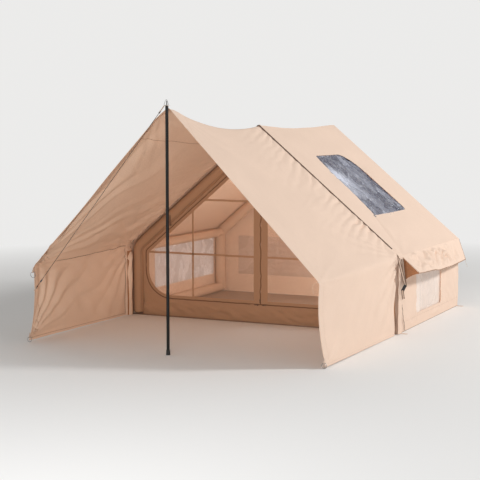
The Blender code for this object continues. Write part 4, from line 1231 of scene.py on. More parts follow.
for word, y, seed in (("front", tent["frontArchY"], 101), ("rear", tent["rearArchY"], 103)):
    sleeve = wrapTube(word + "ArchSleeve", archRoute(y), tent["beamRadius"], (0, 1, 0),
                      around=44, wrinkle=archWrinkle(seed))
    dress(sleeve, porchShadeCloth if word == "front" else sleeveCloth, "tent", "sleeve_canvas",
          word + "_arch_beam")
tubeSeams("frontArchSeams", archRoute(tent["frontArchY"]), [-38, -142])
tubeSeams("rearArchSeams", archRoute(tent["rearArchY"]), [150])


def saddle(points):
    # a crossing beam's ends meet the arches' round sides
    path = archRoute(0)
    away = np.full(points.shape[:2], 9.0)
    for x, _, z in evenly(path, np.linspace(0, 1, 300)):
        away = np.minimum(away, np.hypot(points[..., 0] - x, points[..., 2] - z))
    reach = np.sqrt(np.clip(beams["saddle"] ** 2 - away ** 2, 0, None))
    low, high = tent["frontArchY"] + reach, tent["rearArchY"] - reach
    share = (points[..., 1] - tent["frontArchY"]) / (tent["rearArchY"] - tent["frontArchY"])
    points[..., 1] = low + (high - low) * share
    return points


for side, word in bothSides:
    for kind, x, z, radius, seed in (("eave", *beams["eave"], beams["eaveRadius"], 105),
                                     ("floor", tent["postX"], beams["floorHeight"],
                                      beams["floorRadius"], 107)):
        route = straightLine((side * x, tent["frontArchY"], z), (side * x, tent["rearArchY"], z),
                             60)

        def wrinkle(turn, run, centre, seed=seed + side):
            ends = np.exp(-run / 0.15) + np.exp(-(1.98 - run) / 0.15)
            return (-0.001 + 0.0009 * ripple(np.cos(turn) * 0.05 + run, np.sin(turn) * 0.05,
                                             0.2, seed)
                    - 0.002 * np.clip(ends, 0, 1) * np.abs(np.sin(run * 70 + turn)))

        sleeve = wrapTube(word + kind.title() + "Sleeve", route, radius, (0, 0, 1), around=32,
                          spacing=0.02, wrinkle=wrinkle, ends=False, trim=saddle)
        dress(sleeve, sleeveCloth, "tent", "sleeve_canvas", word + "_" + kind + "_beam")
print("tent: beams sleeved")


# Front wall round the doorway, in three cuts, and the two door leaves
door = {"y": -0.99, "thickness": 0.0016, "offset": 0.1546, "inner": 0.1246, "sill": 0.185,
        "corner": 0.3, "eaveRadius": 0.05, "headRadius": 0.0697, "innerBend": 0.0997,
        "zipGap": 0.003, "band": 0.034, "centreBand": 0.078, "centreGap": 0.0036, "ribbon": 0.02,
        "ribbonX": 0.78, "ribbonHeights": (0.675, 1.245), "ribbonFoot": 0.214,
        "ribbonEnds": (0.07, 1.316), "ribbonLap": 0.008, "bandLine": 0.5098, "netY": -0.98695,
        "netRim": 0.985, "head": 0.0254, "headBend": 0.05, "headBand": 0.081,
        "zipWidth": 0.012, "zipLift": 0.0018, "centreZip": (0.19, 1.785)}


def gableLoop(offset, bottom, radii):
    x = tent["halfWidth"] - offset
    return roundedLoop([(-x, bottom), (x, bottom), (x, roofLine(x, offset)),
                        (0, roofLine(0, offset)), (-x, roofLine(x, offset))], radii, 10,
                       [110, 24, 80, 80, 24])


surroundOuter = gableLoop(door["inner"], tent["floorTop"],
                          [0.001, 0.001] + [door["innerBend"]] * 3)
surroundInner = gableLoop(door["offset"], door["sill"],
                          [door["corner"]] * 2 + [door["eaveRadius"], door["headRadius"],
                                                  door["eaveRadius"]])


def surroundPlaceFor(first, last):
    def place(s, t):
        step = first + (last - first) * t[:, 0]
        step = np.round(step).astype(int) % (len(surroundOuter) - 1)
        at = mixPoints(surroundOuter[step][:, None], surroundInner[step][:, None], s[..., None])
        x, z = at[..., 0], at[..., 1]
        sill = ease((0.2 - z) / 0.1)
        lift = sill * swell(np.clip(z / door["sill"], 0, 1)) * (
            0.011 * np.abs(np.sin((x * 7 + z * 22) + 1.4 * ripple(x, z, 0.5, 111))) - 0.003
            + 0.006 * ripple(x, z * 2, 0.16, 112))
        lift = lift + 0.0015 * ripple(x, z, 0.07, 113)
        return pointsOf(x, door["y"] - lift, z)
    return place


# each cut's first and last step round the outline, columns, flat size and area
cuts = (("sillCloth", 0, 131, 24, (2.75, 0.48), 0.56),
        ("rightJambCloth", 131, 249, 6, (0.031, 1.95), None),
        ("leftJambCloth", 249, len(surroundOuter) - 1, 6, (0.031, 1.95), None))
for name, first, last, columns, flat, area in cuts:
    cut = layCloth(name, columns, last - first, surroundPlaceFor(first, last), flat,
                   thickness=door["thickness"], flip=True)
    dress(cut, porchShadeCloth, "tent", "sleeve_canvas", "front_wall")


def leafLoop(side, grow, seam, centre, head, headRadius):
    # a leaf's outline, grow inside the doorway's
    x = tent["halfWidth"] - door["offset"] - grow
    return roundedLoop([(side * centre, door["sill"] + grow), (side * x, door["sill"] + grow),
                        (side * x, roofLine(x, seam)), (side * head, roofLine(head, seam)),
                        (side * centre, roofLine(head, seam))],
                       [0.001, door["corner"] - grow, door["eaveRadius"] - grow, headRadius,
                        0.001], 10, [50, 16, 80, 3, 90])


for side, word in bothSides:
    inset = door["zipGap"] + door["band"]
    leafOuter = leafLoop(side, door["zipGap"], door["offset"] + tent["gap"], door["centreGap"],
                         door["head"], door["headBend"])
    leafInner = leafLoop(side, inset, door["offset"] + inset, door["centreBand"],
                         door["headBand"], 0.0005)
    middle = leafInner[:-1].mean(axis=0)

    def bandPlace(s, t, leafOuter=leafOuter, leafInner=leafInner):
        at = ringShares(leafOuter, leafInner, s, t)
        lift = 0.0011 * ripple(at[..., 0], at[..., 1], 0.09, 121)
        return pointsOf(at[..., 0], door["y"] - lift, at[..., 1])

    def netPlace(s, t, leafOuter=leafOuter, middle=middle):
        rim = leafOuter[np.round(t[:, 0] * (len(leafOuter) - 1)).astype(int)][:, None]
        rim = mixPoints(middle, rim, door["netRim"])
        at = mixPoints(rim, middle, (s * 0.98)[..., None])
        lift = 0.006 * crease(at[..., 0], at[..., 1], 0.5, 123) * ease(s * 6)
        return pointsOf(at[..., 0], door["netY"] + np.abs(lift), at[..., 1])

    band = layCloth(word + "DoorBand", 6, len(leafOuter) - 1, bandPlace, (0.05, 5.0), looped=True,
                    thickness=0.0022, flip=side > 0)
    parts = [band]
    ribbonX, (start, end) = door["ribbonX"], door["ribbonEnds"]
    top = roofLine(ribbonX, door["offset"] + inset) + 0.01
    ribbons = [((ribbonX, door["ribbonFoot"]), (ribbonX, top))]
    for height in door["ribbonHeights"]:
        rafter = tent["halfWidth"] - (height - door["bandLine"]) / math.tan(slope)
        ribbons.append(((start, height), (min(end, rafter + door["ribbonLap"]), height)))
    for first, last in ribbons:
        path = straightLine((side * first[0], door["y"] - 0.0006, first[1]),
                            (side * last[0], door["y"] - 0.0006, last[1]), 40)
        parts.append(layStrip(word + "Ribbon", path, (0, -1, 0), door["ribbon"], columns=3,
                              thickness=0.0012, wave=0.0012, waveSize=0.3))
    leaf = joinPieces(word + "DoorBand", parts)
    dress(leaf, porchShadeCloth, word + "_door", "sleeve_canvas", word + "_door_frame")
    net = layCloth(word + "DoorNet", 30, len(leafOuter) - 1, netPlace, (1.0, 1.0), looped=True,
                   thickness=0, flip=side > 0)
    uv = net.data.uv_layers.active
    for loop in net.data.loops:
        spot = net.data.vertices[loop.vertex_index].co
        uv.data[loop.index].uv = (spot.x, spot.z)
    modify(net, "SOLIDIFY", thickness=0.0005, offset=0)
    dress(net, netCloth, word + "_door", "door_mesh", word + "_door_mesh")
print("tent: doorway sewn")


# Door zips: along the sides and sill, and up the middle
def zipCoil(share):
    # the raised coil along a zip tape's middle
    return lambda s: 0.0012 * np.exp(-((s - 0.5) / share) ** 2)


half, tapeY = door["zipGap"] / 2, door["y"] - door["zipLift"]
doorZipLoop = gableLoop(door["offset"] + half, door["sill"] + half,
                        [door["corner"] - half] * 2 + [door["eaveRadius"] - half,
                                                       door["headRadius"] - half,
                                                       door["eaveRadius"] - half])
foot, head = [(0, tapeY, height) for height in door["centreZip"]]
zipPaths = (("doorwayZip", pointsOf(doorZipLoop[:, 0], tapeY, doorZipLoop[:, 1]), 0.0015, 0.12),
            ("centreZip", straightLine(foot, head, 120), 0.0045, 0.16))
zips = joinPieces("doorZips", [
    layStrip(name, path, (0, -1, 0), door["zipWidth"], columns=6, thickness=0.0008, wave=wave,
             waveSize=waveSize, height=zipCoil(0.14)) for name, path, wave, waveSize in zipPaths])
dress(zips, doorZipTape, "tent", "zip")


# The canopy's zip and the narrow flap beside it, up each corner and along the rafter
bandValues = {"above": 0.0024, "bend": 0.02, "zipY": -1.0455, "zipWidth": 0.032,
              "flapY": -1.0170, "flapWidth": 0.024, "flapPuff": 0.0030}
for side, word in bothSides:
    outX = side * (tent["halfWidth"] + bandValues["above"])
    topZ = tent["ridge"] + bandValues["above"] / math.cos(slope)

    def bandRoute(y):
        points = roundedRun([(outX, y, 0.003), (outX, y, tent["eave"] + 0.0012),
                             (side * 0.002, y, topZ)], [0, bandValues["bend"], 0], 8)
        points = evenly(points, np.linspace(0, 1, 260))
        return points, unit(np.cross(np.gradient(points, axis=0), (0, 1, 0)) * (-side))

    tape = layStrip(word + "CanopyZip", *bandRoute(bandValues["zipY"]), bandValues["zipWidth"],
                    columns=6, thickness=0.0009, wave=0.0045, waveSize=0.13, spacing=0.010,
                    height=zipCoil(0.16))
    flap = layStrip(word + "ZipFlap", *bandRoute(bandValues["flapY"]), bandValues["flapWidth"],
                    columns=6, thickness=0.0014, wave=0.001, waveSize=0.14, spacing=0.012,
                    height=lambda s: bandValues["flapPuff"] * swell(s))
    dress(tape, zipTape, "tent", "zip", word + "_zip_band")
    dress(flap, outerCloth, "tent", "canvas", word + "_zip_band")


# Each front corner: a dark brown strip of painted shade in the wing's pleat, and a puffed flap over
# the zip
corner = {"shadeSheetX": 1.474, "shadeSheetY": -1.118, "shadeSheetWidth": 0.095, "shadeSheetTop": 0.69,
          "flapX": 1.5035, "flapY": -1.032, "flapWidth": 0.095, "flapPuff": 0.020,
          "flapRun": 0.10, "webWidth": 0.0124, "strapShadeWidth": 0.025,
          "webLift": 0.0022, "sag": 0.006, "buckleSize": (0.030, 0.006, 0.066),
          "buckleTurn": (0, 28, 25), "windowHalf": 0.012, "windowSpan": (0.006, 0.016),
          "windowDepth": 0.0022,
          "strapLeft": (1.545, -1.211, 0.758), "strapRight": (1.545, -1.098, 0.742),
          "buckleTop": (1.550, -1.006, 0.474), "buckleLow": (1.550, -1.098, 0.437),
          "strapEnd": (1.535, -1.014, 0.342), "facing": (0.43, -0.90, 0),
          "laceTop": (1.5125, -1.005, 0.30), "laceFoot": (1.5125, -0.885, 0.012),
          "laceWidth": 0.009}
for side, word in bothSides:
    path = straightLine((side * corner["shadeSheetX"], corner["shadeSheetY"], 0.006),
                        (side * corner["shadeSheetX"], corner["shadeSheetY"], corner["shadeSheetTop"]), 60)
    shadeSheet = layStrip(word + "CornerShadeSheet", path, (side, 0, 0), corner["shadeSheetWidth"], columns=8,
                      thickness=0.001, wave=0.003, waveSize=0.2,
                      height=lambda s: -0.006 * swell(s))
    dress(shadeSheet, shadeSheetCloth, "tent", "canopy_canvas")
    x, y, z = corner["flapX"], corner["flapY"], tent["eave"] + 0.001
    path = roundedRun([(side * x, y, 0.004), (side * x, y, z),
                       (side * (x - corner["flapRun"] * math.cos(slope)), y,
                        z + corner["flapRun"] * math.sin(slope))], [0, 0.03, 0], 8)
    path = evenly(path, np.linspace(0, 1, 120))
    ups = np.cross(np.gradient(path, axis=0), (0, 1, 0)) * (-side)
    puff = layStrip(word + "CornerFlap", path, ups, corner["flapWidth"], columns=14,
                    thickness=0.0014, wave=0.006, waveSize=0.22, spacing=0.012, seed=7,
                    height=lambda s: corner["flapPuff"] * swell(s)
                    * (0.8 + 0.2 * np.sin(s * 13)))
    dress(puff, outerCloth, "tent", "canvas")

# Right corner: a strap doubled through its black buckle, and the zip's pull lace
facing = corner["facing"]
low, high = corner["windowSpan"]
webStrips, strapShadeStrips = [], []
for start, end in ((corner["strapLeft"], corner["buckleTop"]),
                   (corner["strapRight"], corner["buckleTop"]),
                   (corner["buckleLow"], corner["strapEnd"])):
    path = straightLine(start, end, 24)
    path[:, 2] -= corner["sag"] * np.sin(np.linspace(0, math.pi, 24))
    raised = path + np.array(facing) * corner["webLift"]
    webStrips.append(layStrip("cornerStrapWeb", raised, facing, corner["webWidth"], columns=4,
                              thickness=0.0016, spacing=0.008))
    # a wider dark strip under each arm is painted shade along the strap's edges
    strapShadeStrips.append(layStrip("cornerStrapShade", path, facing, corner["strapShadeWidth"], columns=4,
                               thickness=0.0012, spacing=0.008))
dress(joinPieces("cornerStrapWeb", webStrips), webCloth, "tent", "webbing")
dress(joinPieces("cornerStrapShade", strapShadeStrips), darkWeb, "tent", "webbing")
buckle = addShape(bpy.ops.mesh.primitive_cube_add, "cornerBuckle", corner["buckleSize"], size=1)
setMode("EDIT")
selectFaces(buckle, lambda centre, normal: abs(normal.y) > 0.9)
bpy.ops.mesh.subdivide(number_cuts=4)
selectFaces(buckle, lambda centre, normal: abs(normal.y) > 0.9
            and abs(centre.x) < corner["windowHalf"] and low < abs(centre.z) < high)
bpy.ops.mesh.inset(thickness=0.001)
bpy.ops.mesh.extrude_region_shrink_fatten(
    TRANSFORM_OT_shrink_fatten={"value": -corner["windowDepth"]})
setMode("OBJECT")
bevel(buckle, 0.0014)
smoothByAngle(buckle)
buckle.rotation_euler = [math.radians(turn) for turn in corner["buckleTurn"]]
buckle.location = (Vector(corner["buckleTop"]) + Vector(corner["buckleLow"])) / 2
settle(buckle)
dress(buckle, blackPlastic, "tent", "zip")
lace = layStrip("cornerLace", straightLine(corner["laceTop"], corner["laceFoot"], 60), (1, 0, 0),
                corner["laceWidth"], columns=4, thickness=0.0016, wave=0.007, waveSize=0.10,
                spacing=0.006)
dress(lace, darkWeb, "tent", "webbing")


# Groundsheet
ground = {"width": 3.0, "length": 2.1, "under": 0.0018, "crumple": 0.004}


def groundPlace(s, t):
    # flat under the beams
    x, y = (s - 0.5) * ground["width"], (t - 0.5) * ground["length"]
    inside = ease((1.36 - np.abs(x)) / 0.1) * ease((0.9 - np.abs(y)) / 0.1)
    lift = ground["crumple"] * np.clip(crease(x, y, 0.5, 131) + 0.4, 0, 1) * inside
    return pointsOf(x, y, ground["under"] + lift)


groundCloth = layCloth("groundCloth", 150, 105, groundPlace, (ground["width"], ground["length"]),
                       thickness=0.003)
dress(groundCloth, floorCloth, "tent", "floor_sheet", "groundsheet")
print("tent: zips, flaps and floor laid")


# Webbing tabs, straps and loops, each with its hole
def eyeletStrap(name, node, outline, radii, hole, holeRadii, place, runs=(14, 8, 14, 8)):
    outer = roundedLoop(outline, radii, 6, runs)
    inner = roundedLoop(hole, holeRadii, 6, runs)

    def strapPlace(s, t):
        at = ringShares(outer, inner, s, t)
        return place(at[..., 0], at[..., 1])

    strap = layCloth(name, 6, len(outer) - 1, strapPlace, (1.0, 1.0), looped=True,
                     thickness=fittings["thickness"])
    bevel(strap, 0.0005, 2)
    dress(strap, webCloth, "tent", "webbing", node)


def rectangle(left, right, low, high):
    return [(left, low), (right, low), (right, high), (left, high)]


def roundHole(x, y, radius):
    # an eyelet's outline and its corner radii
    return rectangle(x - radius, x + radius, y - radius, y + radius), [radius * 0.98] * 4


def flatPlace(origin, first, second):
    # puts a strap's own (a, b) where origin, first and second say
    origin, first, second = (np.array(v, float) for v in (origin, first, second))
    return lambda a, b: origin + first * a[..., None] + second * b[..., None]


fittings = {"thickness": 0.0026, "poleY": -2.964, "tabZ": 2.1945, "tabHalf": 0.024,
            "tabRear": 0.0191, "eyelet": 0.0055, "eyeletRadius": 0.0068, "eyeletWire": 0.00165,
            "strapRun": (-0.63286, 0.00273, -0.77426), "strapSide": (0.00172, 1.0, 0.00211),
            "strapTop": (-0.0258, -2.964, 2.1945), "loopTop": (-1.38735, -2.95814, 0.52871),
            "tabX": 1.4798, "tabHole": 0.0485, "edgeY": -2.9446, "tabWidth": 0.026,
            "tabBelow": 0.008, "tabAbove": 0.055, "tabEyelet": 0.0032, "ringRadius": 0.0225,
            "cornerTab": (-1.43, 0.666), "cornerRing": 0.027, "ringWire": 0.0024,
            "weld": 0.0003, "barBack": 0.0085, "barZ": 2.1983, "peakHalf": 0.025,
            "peakDrop": 0.06, "peakBend": 0.007, "peakWire": 0.002}

tabHalf = fittings["tabHalf"]
eyeletStrap("peakTabWeb", "peak_tab", rectangle(-tabHalf, tabHalf, -tabHalf, fittings["tabRear"]),
            [0.007, 0.007, 0.0005, 0.0005], *roundHole(0, 0, fittings["eyelet"]),
            flatPlace((0, fittings["poleY"], fittings["tabZ"]), (1, 0, 0), (0, 1, 0)))
# a rolled metal eyelet in it
peakEyelet = addShape(bpy.ops.mesh.primitive_torus_add, "peakEyelet",
                      major_radius=fittings["eyeletRadius"], minor_radius=fittings["eyeletWire"],
                      major_segments=40, minor_segments=10,
                      location=(0, fittings["poleY"], fittings["tabZ"] + 0.0012))
smoothByAngle(peakEyelet)
dress(peakEyelet, ringSteel, "tent", "bright_steel")

for name, top, length, width, holeShare, holeRadius, node in (
        ("guyStrapWeb", fittings["strapTop"], 0.07, 0.018, 0.85, 0.005, "guy_strap"),
        ("guyLoopWeb", fittings["loopTop"], 0.05, 0.024, 0.3, 0.007, "guy_loop")):
    eyeletStrap(name, node, rectangle(0, length, -width / 2, width / 2),
                [0.0005, width / 4, width / 4, 0.0005],
                *roundHole(length * holeShare, 0, holeRadius),
                flatPlace(top, fittings["strapRun"], fittings["strapSide"]))

# Hanging tabs and their rings
high = fittings["edgeY"]
low = high - fittings["tabWidth"]
holeY = (low + high) / 2
for word, x, holeZ, radius, node in (
        ("leftWing", -fittings["tabX"], fittings["tabHole"], fittings["ringRadius"], "left_wing"),
        ("rightWing", fittings["tabX"], fittings["tabHole"], fittings["ringRadius"], "right_wing"),
        ("leftCorner", *fittings["cornerTab"], fittings["cornerRing"], "left_corner")):
    below = fittings["tabBelow"]
    eyeletStrap(word + "Tab", node + "_tab",
                [(low, holeZ - below), (high, holeZ - below),
                 (high, holeZ + fittings["tabAbove"]), (low, holeZ + below)],
                [0.004] * 4, *roundHole(holeY, holeZ, fittings["tabEyelet"]),
                flatPlace((x, 0, 0), (0, 1, 0), (0, 0, 1)))
    ring = addShape(bpy.ops.mesh.primitive_torus_add, word + "RingWire", major_radius=radius,
                    minor_radius=fittings["ringWire"], major_segments=72, minor_segments=14,
                    location=(x, holeY, holeZ - radius), rotation=(math.pi / 2, 0, 0))
    # the weld: a short thicker stretch at the ring's foot
    setMode("EDIT")
    selectFaces(ring, lambda centre, normal, x=x, z=holeZ - 2 * radius: (
        abs(centre.x - x) < 0.0022 and abs(centre.z - z) < 0.006))
    bpy.ops.transform.shrink_fatten(value=fittings["weld"])
    setMode("OBJECT")
    smoothByAngle(ring)
    dress(ring, ringSteel, node + "_ring_body", "bright_steel", node + "_ring")

# The three-sided ring at the peak
ringLoop = roundedLoop([(-fittings["peakHalf"], 0), (fittings["peakHalf"], 0),
                        (0, fittings["peakDrop"])], [fittings["peakBend"]] * 3, 8, [12, 12, 12])
ringPath = pointsOf(ringLoop[:, 0], fittings["poleY"] - fittings["barBack"],
                    ringLoop[:, 1] + fittings["barZ"])


def peakRingPlace(s, t):
    step = np.round(t[:, 0] * (len(ringPath) - 1)).astype(int)
    ahead, behind = [ringPath[(step + way) % (len(ringPath) - 1)] for way in (1, -1)]
    out = np.cross(unit(ahead - behind), (0, 1, 0))
    turn, wire = (s * 2 * math.pi)[..., None], fittings["peakWire"]
    return (ringPath[step][:, None] + out[:, None] * np.cos(turn) * wire
            + np.array([0, 1.0, 0]) * np.sin(turn) * wire)


peakRing = layCloth("peakRingWire", 12, len(ringPath) - 1, peakRingPlace, (0.0126, 0.14),
                    looped=True, thickness=0)
editAll(peakRing, lambda: bpy.ops.mesh.normals_make_consistent(inside=False))
dress(peakRing, ringSteel, "peak_ring_body", "bright_steel", "peak_ring")

# Peg loops flat on the ground
pegLoop = {"front": (-1.015, 1.5036), "rear": (1.015, 1.5003), "length": 0.075, "half": 0.015,
           "bend": 0.0075, "hole": (0.042, 0.008), "holeHalf": 0.007, "holeBend": 0.0035,
           "z": 0.0015}
for side, word in bothSides:
    for where in ("front", "rear"):
        y, start = pegLoop[where]
        end, half, holeHalf = start + pegLoop["length"], pegLoop["half"], pegLoop["holeHalf"]
        holeStart, holeEnd = [end - back for back in pegLoop["hole"]]
        eyeletStrap(word + where.title() + "PegWeb", word + "_" + where + "_peg_loop",
                    rectangle(start, end, -half, half),
                    [0.0005, pegLoop["bend"], pegLoop["bend"], 0.0005],
                    rectangle(holeStart, holeEnd, -holeHalf, holeHalf),
                    [pegLoop["holeBend"]] * 4,
                    flatPlace((0, y, pegLoop["z"]), (side, 0, 0), (0, 1, 0)),
                    runs=(26, 8, 26, 8))

# The ties that hold a rolled-up leaf: a tape and its knot
ties = {"x": 1.02, "y": -1.0513, "top": 1.0792, "low": 0.977, "width": 0.012, "knotZ": 0.9742,
        "knotRadius": 0.005, "knotLength": 0.03}
for side, word in bothSides:
    x, y = side * ties["x"], ties["y"]
    tape = layStrip(word + "TieTape", [(x, y, ties["top"]), (x + 0.001, y - 0.0003, 1.03),
                                       (x, y, ties["low"])], (0, -1, 0), ties["width"],
                    columns=4, thickness=0.0016, wave=0.0008, spacing=0.005)
    barrel = addShape(bpy.ops.mesh.primitive_cylinder_add, word + "TieKnot", vertices=20,
                      radius=ties["knotRadius"], depth=ties["knotLength"],
                      location=(x, y, ties["knotZ"]), rotation=(0, math.pi / 2, 0))
    bevel(barrel, 0.0018)
    setMode("EDIT")
    selectFaces(barrel, lambda centre, normal, x=x: abs(centre.x - x) < 0.02
                and abs(normal.x) < 0.3)
    bpy.ops.mesh.subdivide(number_cuts=3)
    setMode("OBJECT")
    for point in barrel.data.vertices:
        wind = 1 + 0.07 * math.sin((point.co.x - x) * 900)
        point.co.y = y + (point.co.y - y) * wind
        point.co.z = ties["knotZ"] + (point.co.z - ties["knotZ"]) * wind
    smoothByAngle(barrel)
    barrel.data.uv_layers[0].name = "cloth"
    tie = joinPieces(word + "DoorTie", [tape, barrel])
    dress(tie, darkWeb, "tent", "webbing", word + "_door_toggle")
print("tent: webbing and rings made")


# Zip sliders: modelled once and copied
sliderValues = {"body": (0.016, 0.01, 0.0032), "nose": 0.62, "pull": (0.03, 0.007, 1),
                "pullPlace": (-0.021, 0, 0.0042), "pullThickness": 0.0015, "crownEdge": 0.0022,
                "crown": 0.0014, "pullCorner": 0.0024, "pullRim": 0.0018}


def makeSlider():
    body = addShape(bpy.ops.mesh.primitive_cube_add, "sliderBody", sliderValues["body"], size=1,
                    location=(0, 0, sliderValues["body"][2] / 2))
    setMode("EDIT")
    selectFaces(body, lambda centre, normal: normal.x > 0.9)
    bpy.ops.transform.resize(value=(1, sliderValues["nose"], 1))
    selectFaces(body, lambda centre, normal: normal.z > 0.9)
    bpy.ops.mesh.inset(thickness=sliderValues["crownEdge"])
    raiseFaces(sliderValues["crown"])
    setMode("OBJECT")
    bevel(body, 0.0006, 2)
    pull = addShape(bpy.ops.mesh.primitive_plane_add, "sliderPull", sliderValues["pull"], size=1,
                    location=sliderValues["pullPlace"])
    setMode("EDIT")
    bpy.ops.mesh.select_all(action="SELECT")
    bpy.ops.mesh.bevel(offset=sliderValues["pullCorner"], segments=4, affect="VERTICES")
    bpy.ops.mesh.inset(thickness=sliderValues["pullRim"])
    bpy.ops.mesh.delete(type="FACE")
    setMode("OBJECT")
    modify(pull, "SOLIDIFY", thickness=sliderValues["pullThickness"], offset=0)
    slider = joinPieces("zipSliderPattern", [body, pull])
    slider.data.uv_layers[0].name = "cloth"
    return slider


def turnMatrix(run, out, origin):
    run, out = Vector(run).normalized(), Vector(out).normalized()
    side = out.cross(run)
    turned = Matrix((run, side, out)).transposed().to_4x4()
    return Matrix.Translation(origin) @ turned


sliderPattern = makeSlider()
sliderPlaces = (
    ("door_zip_slider", "door_zip", (0, 0, 1), (0, -1, 0), (-0.0056, -0.9923, 0.235), 1),
    ("left_sill_zip_slider", "left_sill_zip", (-1, 0, 0), (0, -1, 0), (-0.03, -0.9923, 0.18), -1),
    ("right_sill_zip_slider", "right_sill_zip", (1, 0, 0), (0, -1, 0), (0.03, -0.9923, 0.18), -1),
    ("left_canopy_zip_slider", "left_canopy_zip", (0.7657, 0, 0.64319),
     (-0.64319, 0, 0.7657), (-1.46403, -1.03, 0.79492), 1),
    ("right_canopy_zip_slider", "right_canopy_zip", (-0.7657, 0, 0.64319),
     (0.64319, 0, 0.7657), (1.46403, -1.03, 0.79492), 1))
for node, body, run, out, origin, pullBack in sliderPlaces:
    pick(sliderPattern)
    bpy.ops.object.duplicate(linked=False)
    slider = bpy.context.object
    if pullBack < 0:
        # this one's puller lies ahead of it
        bpy.ops.transform.rotate(value=math.pi, orient_axis="Z", center_override=(0, 0, 0))
        settle(slider)
    slider.matrix_world = turnMatrix(run, out, origin)
    settle(slider)
    slider.name = "".join(part.title() if index else part
                          for index, part in enumerate(node.split("_"))) + "Metal"
    smoothByAngle(slider, 40)
    dress(slider, sliderMetal, body, "zip", node)
pick(sliderPattern)
bpy.ops.object.delete()


# Pole: two tubes and a rubber foot
pole = {"y": -2.964, "radius": 0.014, "footBase": 0.0063, "joint": 1.1063, "upperBase": 1.1066,
        "shoulder": 2.1924, "spikeTop": 2.2377, "spikeRadius": 0.004, "footRadius": 0.019,
        "footHeight": 0.045, "footTaper": 0.91, "footWall": 0.0029, "footDepth": 0.0385,
        "tubeWall": 0.0011, "socketDepth": 0.05}


def tubeLength(name, low, high, radius):
    return addShape(bpy.ops.mesh.primitive_cylinder_add, name, vertices=40, radius=radius,
                    depth=high - low, location=(0, pole["y"], (low + high) / 2))


lowerTube = tubeLength("poleLowerTube", pole["footBase"], pole["joint"], pole["radius"])
bevel(lowerTube, 0.0008)
setMode("EDIT")
selectFaces(lowerTube, lambda centre, normal: normal.z > 0.9 and centre.z > 1.0)
bpy.ops.mesh.inset(thickness=pole["tubeWall"])
raiseFaces(-pole["socketDepth"])
setMode("OBJECT")
upperTube = tubeLength("poleUpperTube", pole["upperBase"], pole["shoulder"], pole["radius"])
bevel(upperTube, 0.0012)
spike = tubeLength("poleSpike", pole["shoulder"] - 0.0004, pole["spikeTop"], pole["spikeRadius"])
bevel(spike, 0.0015)
upperTube = joinPieces("poleUpperTube", [upperTube, spike])
footCup = tubeLength("poleFootCup", 0, pole["footHeight"], pole["footRadius"])
setMode("EDIT")
selectFaces(footCup, lambda centre, normal: normal.z > 0.9)
bpy.ops.transform.resize(value=(pole["footTaper"], pole["footTaper"], 1),
                         center_override=(0, pole["y"], pole["footHeight"]))
bpy.ops.mesh.inset(thickness=pole["footWall"])
raiseFaces(-pole["footDepth"])
setMode("OBJECT")
bevel(footCup, 0.0012)
for piece, node, material, slotName in ((lowerTube, "pole_lower", poleSteel, "black_steel"),
                                        (upperTube, "pole_upper", poleSteel, "black_steel"),
                                        (footCup, "pole_foot", footRubber, "rubber")):
    smoothByAngle(piece, 40)
    piece.data.uv_layers[0].name = "cloth"
    dress(piece, material, "tent", slotName, node)


# Knots of the guy rope: a bight through the eyelet and three turns round the rope
knotValues = {"face": (0.77427, 0, -0.63286), "bightPlace": 0.008, "bightReach": 0.0125,
              "bightHalf": 0.0042, "start": 0.002, "pitch": 0.0040, "turns": 3, "turnSteps": 16,
              "wind": 2.05, "strand": 0.95, "upperEyelet": 0.0595, "lowerEyelet": 0.015}


def ropeKnot(name, eyelet, ropeEnd, away):
    eyelet, ropeEnd, away = Vector(eyelet), Vector(ropeEnd), Vector(away).normalized()
    face = Vector(knotValues["face"])
    side = away.cross(face)
    radius, steps = ropeValues["radius"], knotValues["turnSteps"]
    middle = eyelet + away * knotValues["bightPlace"]
    points = []
    for step in range(25):
        turn = math.pi * 2 * step / 24
        points.append(middle - away * math.cos(turn) * knotValues["bightReach"]
                      + face * math.sin(turn) * knotValues["bightHalf"])
    for step in range(1, knotValues["turns"] * steps + 1):
        turn = math.pi * 2 * step / steps
        out = (face * math.cos(turn) + side * math.sin(turn)) * radius * knotValues["wind"]
        points.append(ropeEnd + away * (knotValues["start"] + knotValues["pitch"] * step / steps)
                      + out)
    knot = cordAlong(name, points, radius * knotValues["strand"])
    pick(knot)
    bpy.ops.object.convert(target="MESH")
    knot = bpy.context.object
    smoothByAngle(knot, 60)
    dress(knot, ropeFinish, "tent", "cord")
    return knot


run = Vector(fittings["strapRun"])
upperEyelet = Vector(fittings["strapTop"]) + run * knotValues["upperEyelet"]
lowerEyelet = Vector(fittings["loopTop"]) + run * knotValues["lowerEyelet"]
knots = [ropeKnot("upperKnot", upperEyelet, ropeValues["top"], run),
         ropeKnot("lowerKnot", lowerEyelet, ropeValues["low"], -run)]
print("tent: sliders, pole and knots made")


# Lamps, world and floor
light = {"keyPlace": (9.2, 1.8, 6.4), "keyPower": 640, "keySize": 1.4,
         "keyAim": (0, -0.8, 0.9), "fillPlace": (1.9, -8.8, 1.3), "fillPower": 140,
         "fillSize": 1.6, "fillAim": (-0.9, -1.6, 1.0), "cabinPlace": (0.45, -0.25, 0.55),
         "cabinPower": 50, "cabinSize": 0.45, "cabinColour": (1.0, 0.99, 0.97),
         "skyGlow": 0.39, "skyColour": (1.0, 0.985, 0.965), "paper": (0.93, 0.925, 0.915),
         "paperGlow": 0.9, "floorColour": (0.87, 0.865, 0.855), "fadeFrom": 3.3, "fadeOver": 5.0}


def addLamp(word, kind):
    # a lamp that isn't seen itself
    deselectAll()
    bpy.ops.object.light_add(type=kind, location=light[word + "Place"])
    lamp = bpy.context.object
    lamp.name = word + "Lamp"
    lamp.data.energy = light[word + "Power"]
    lamp.visible_camera = False
    return lamp


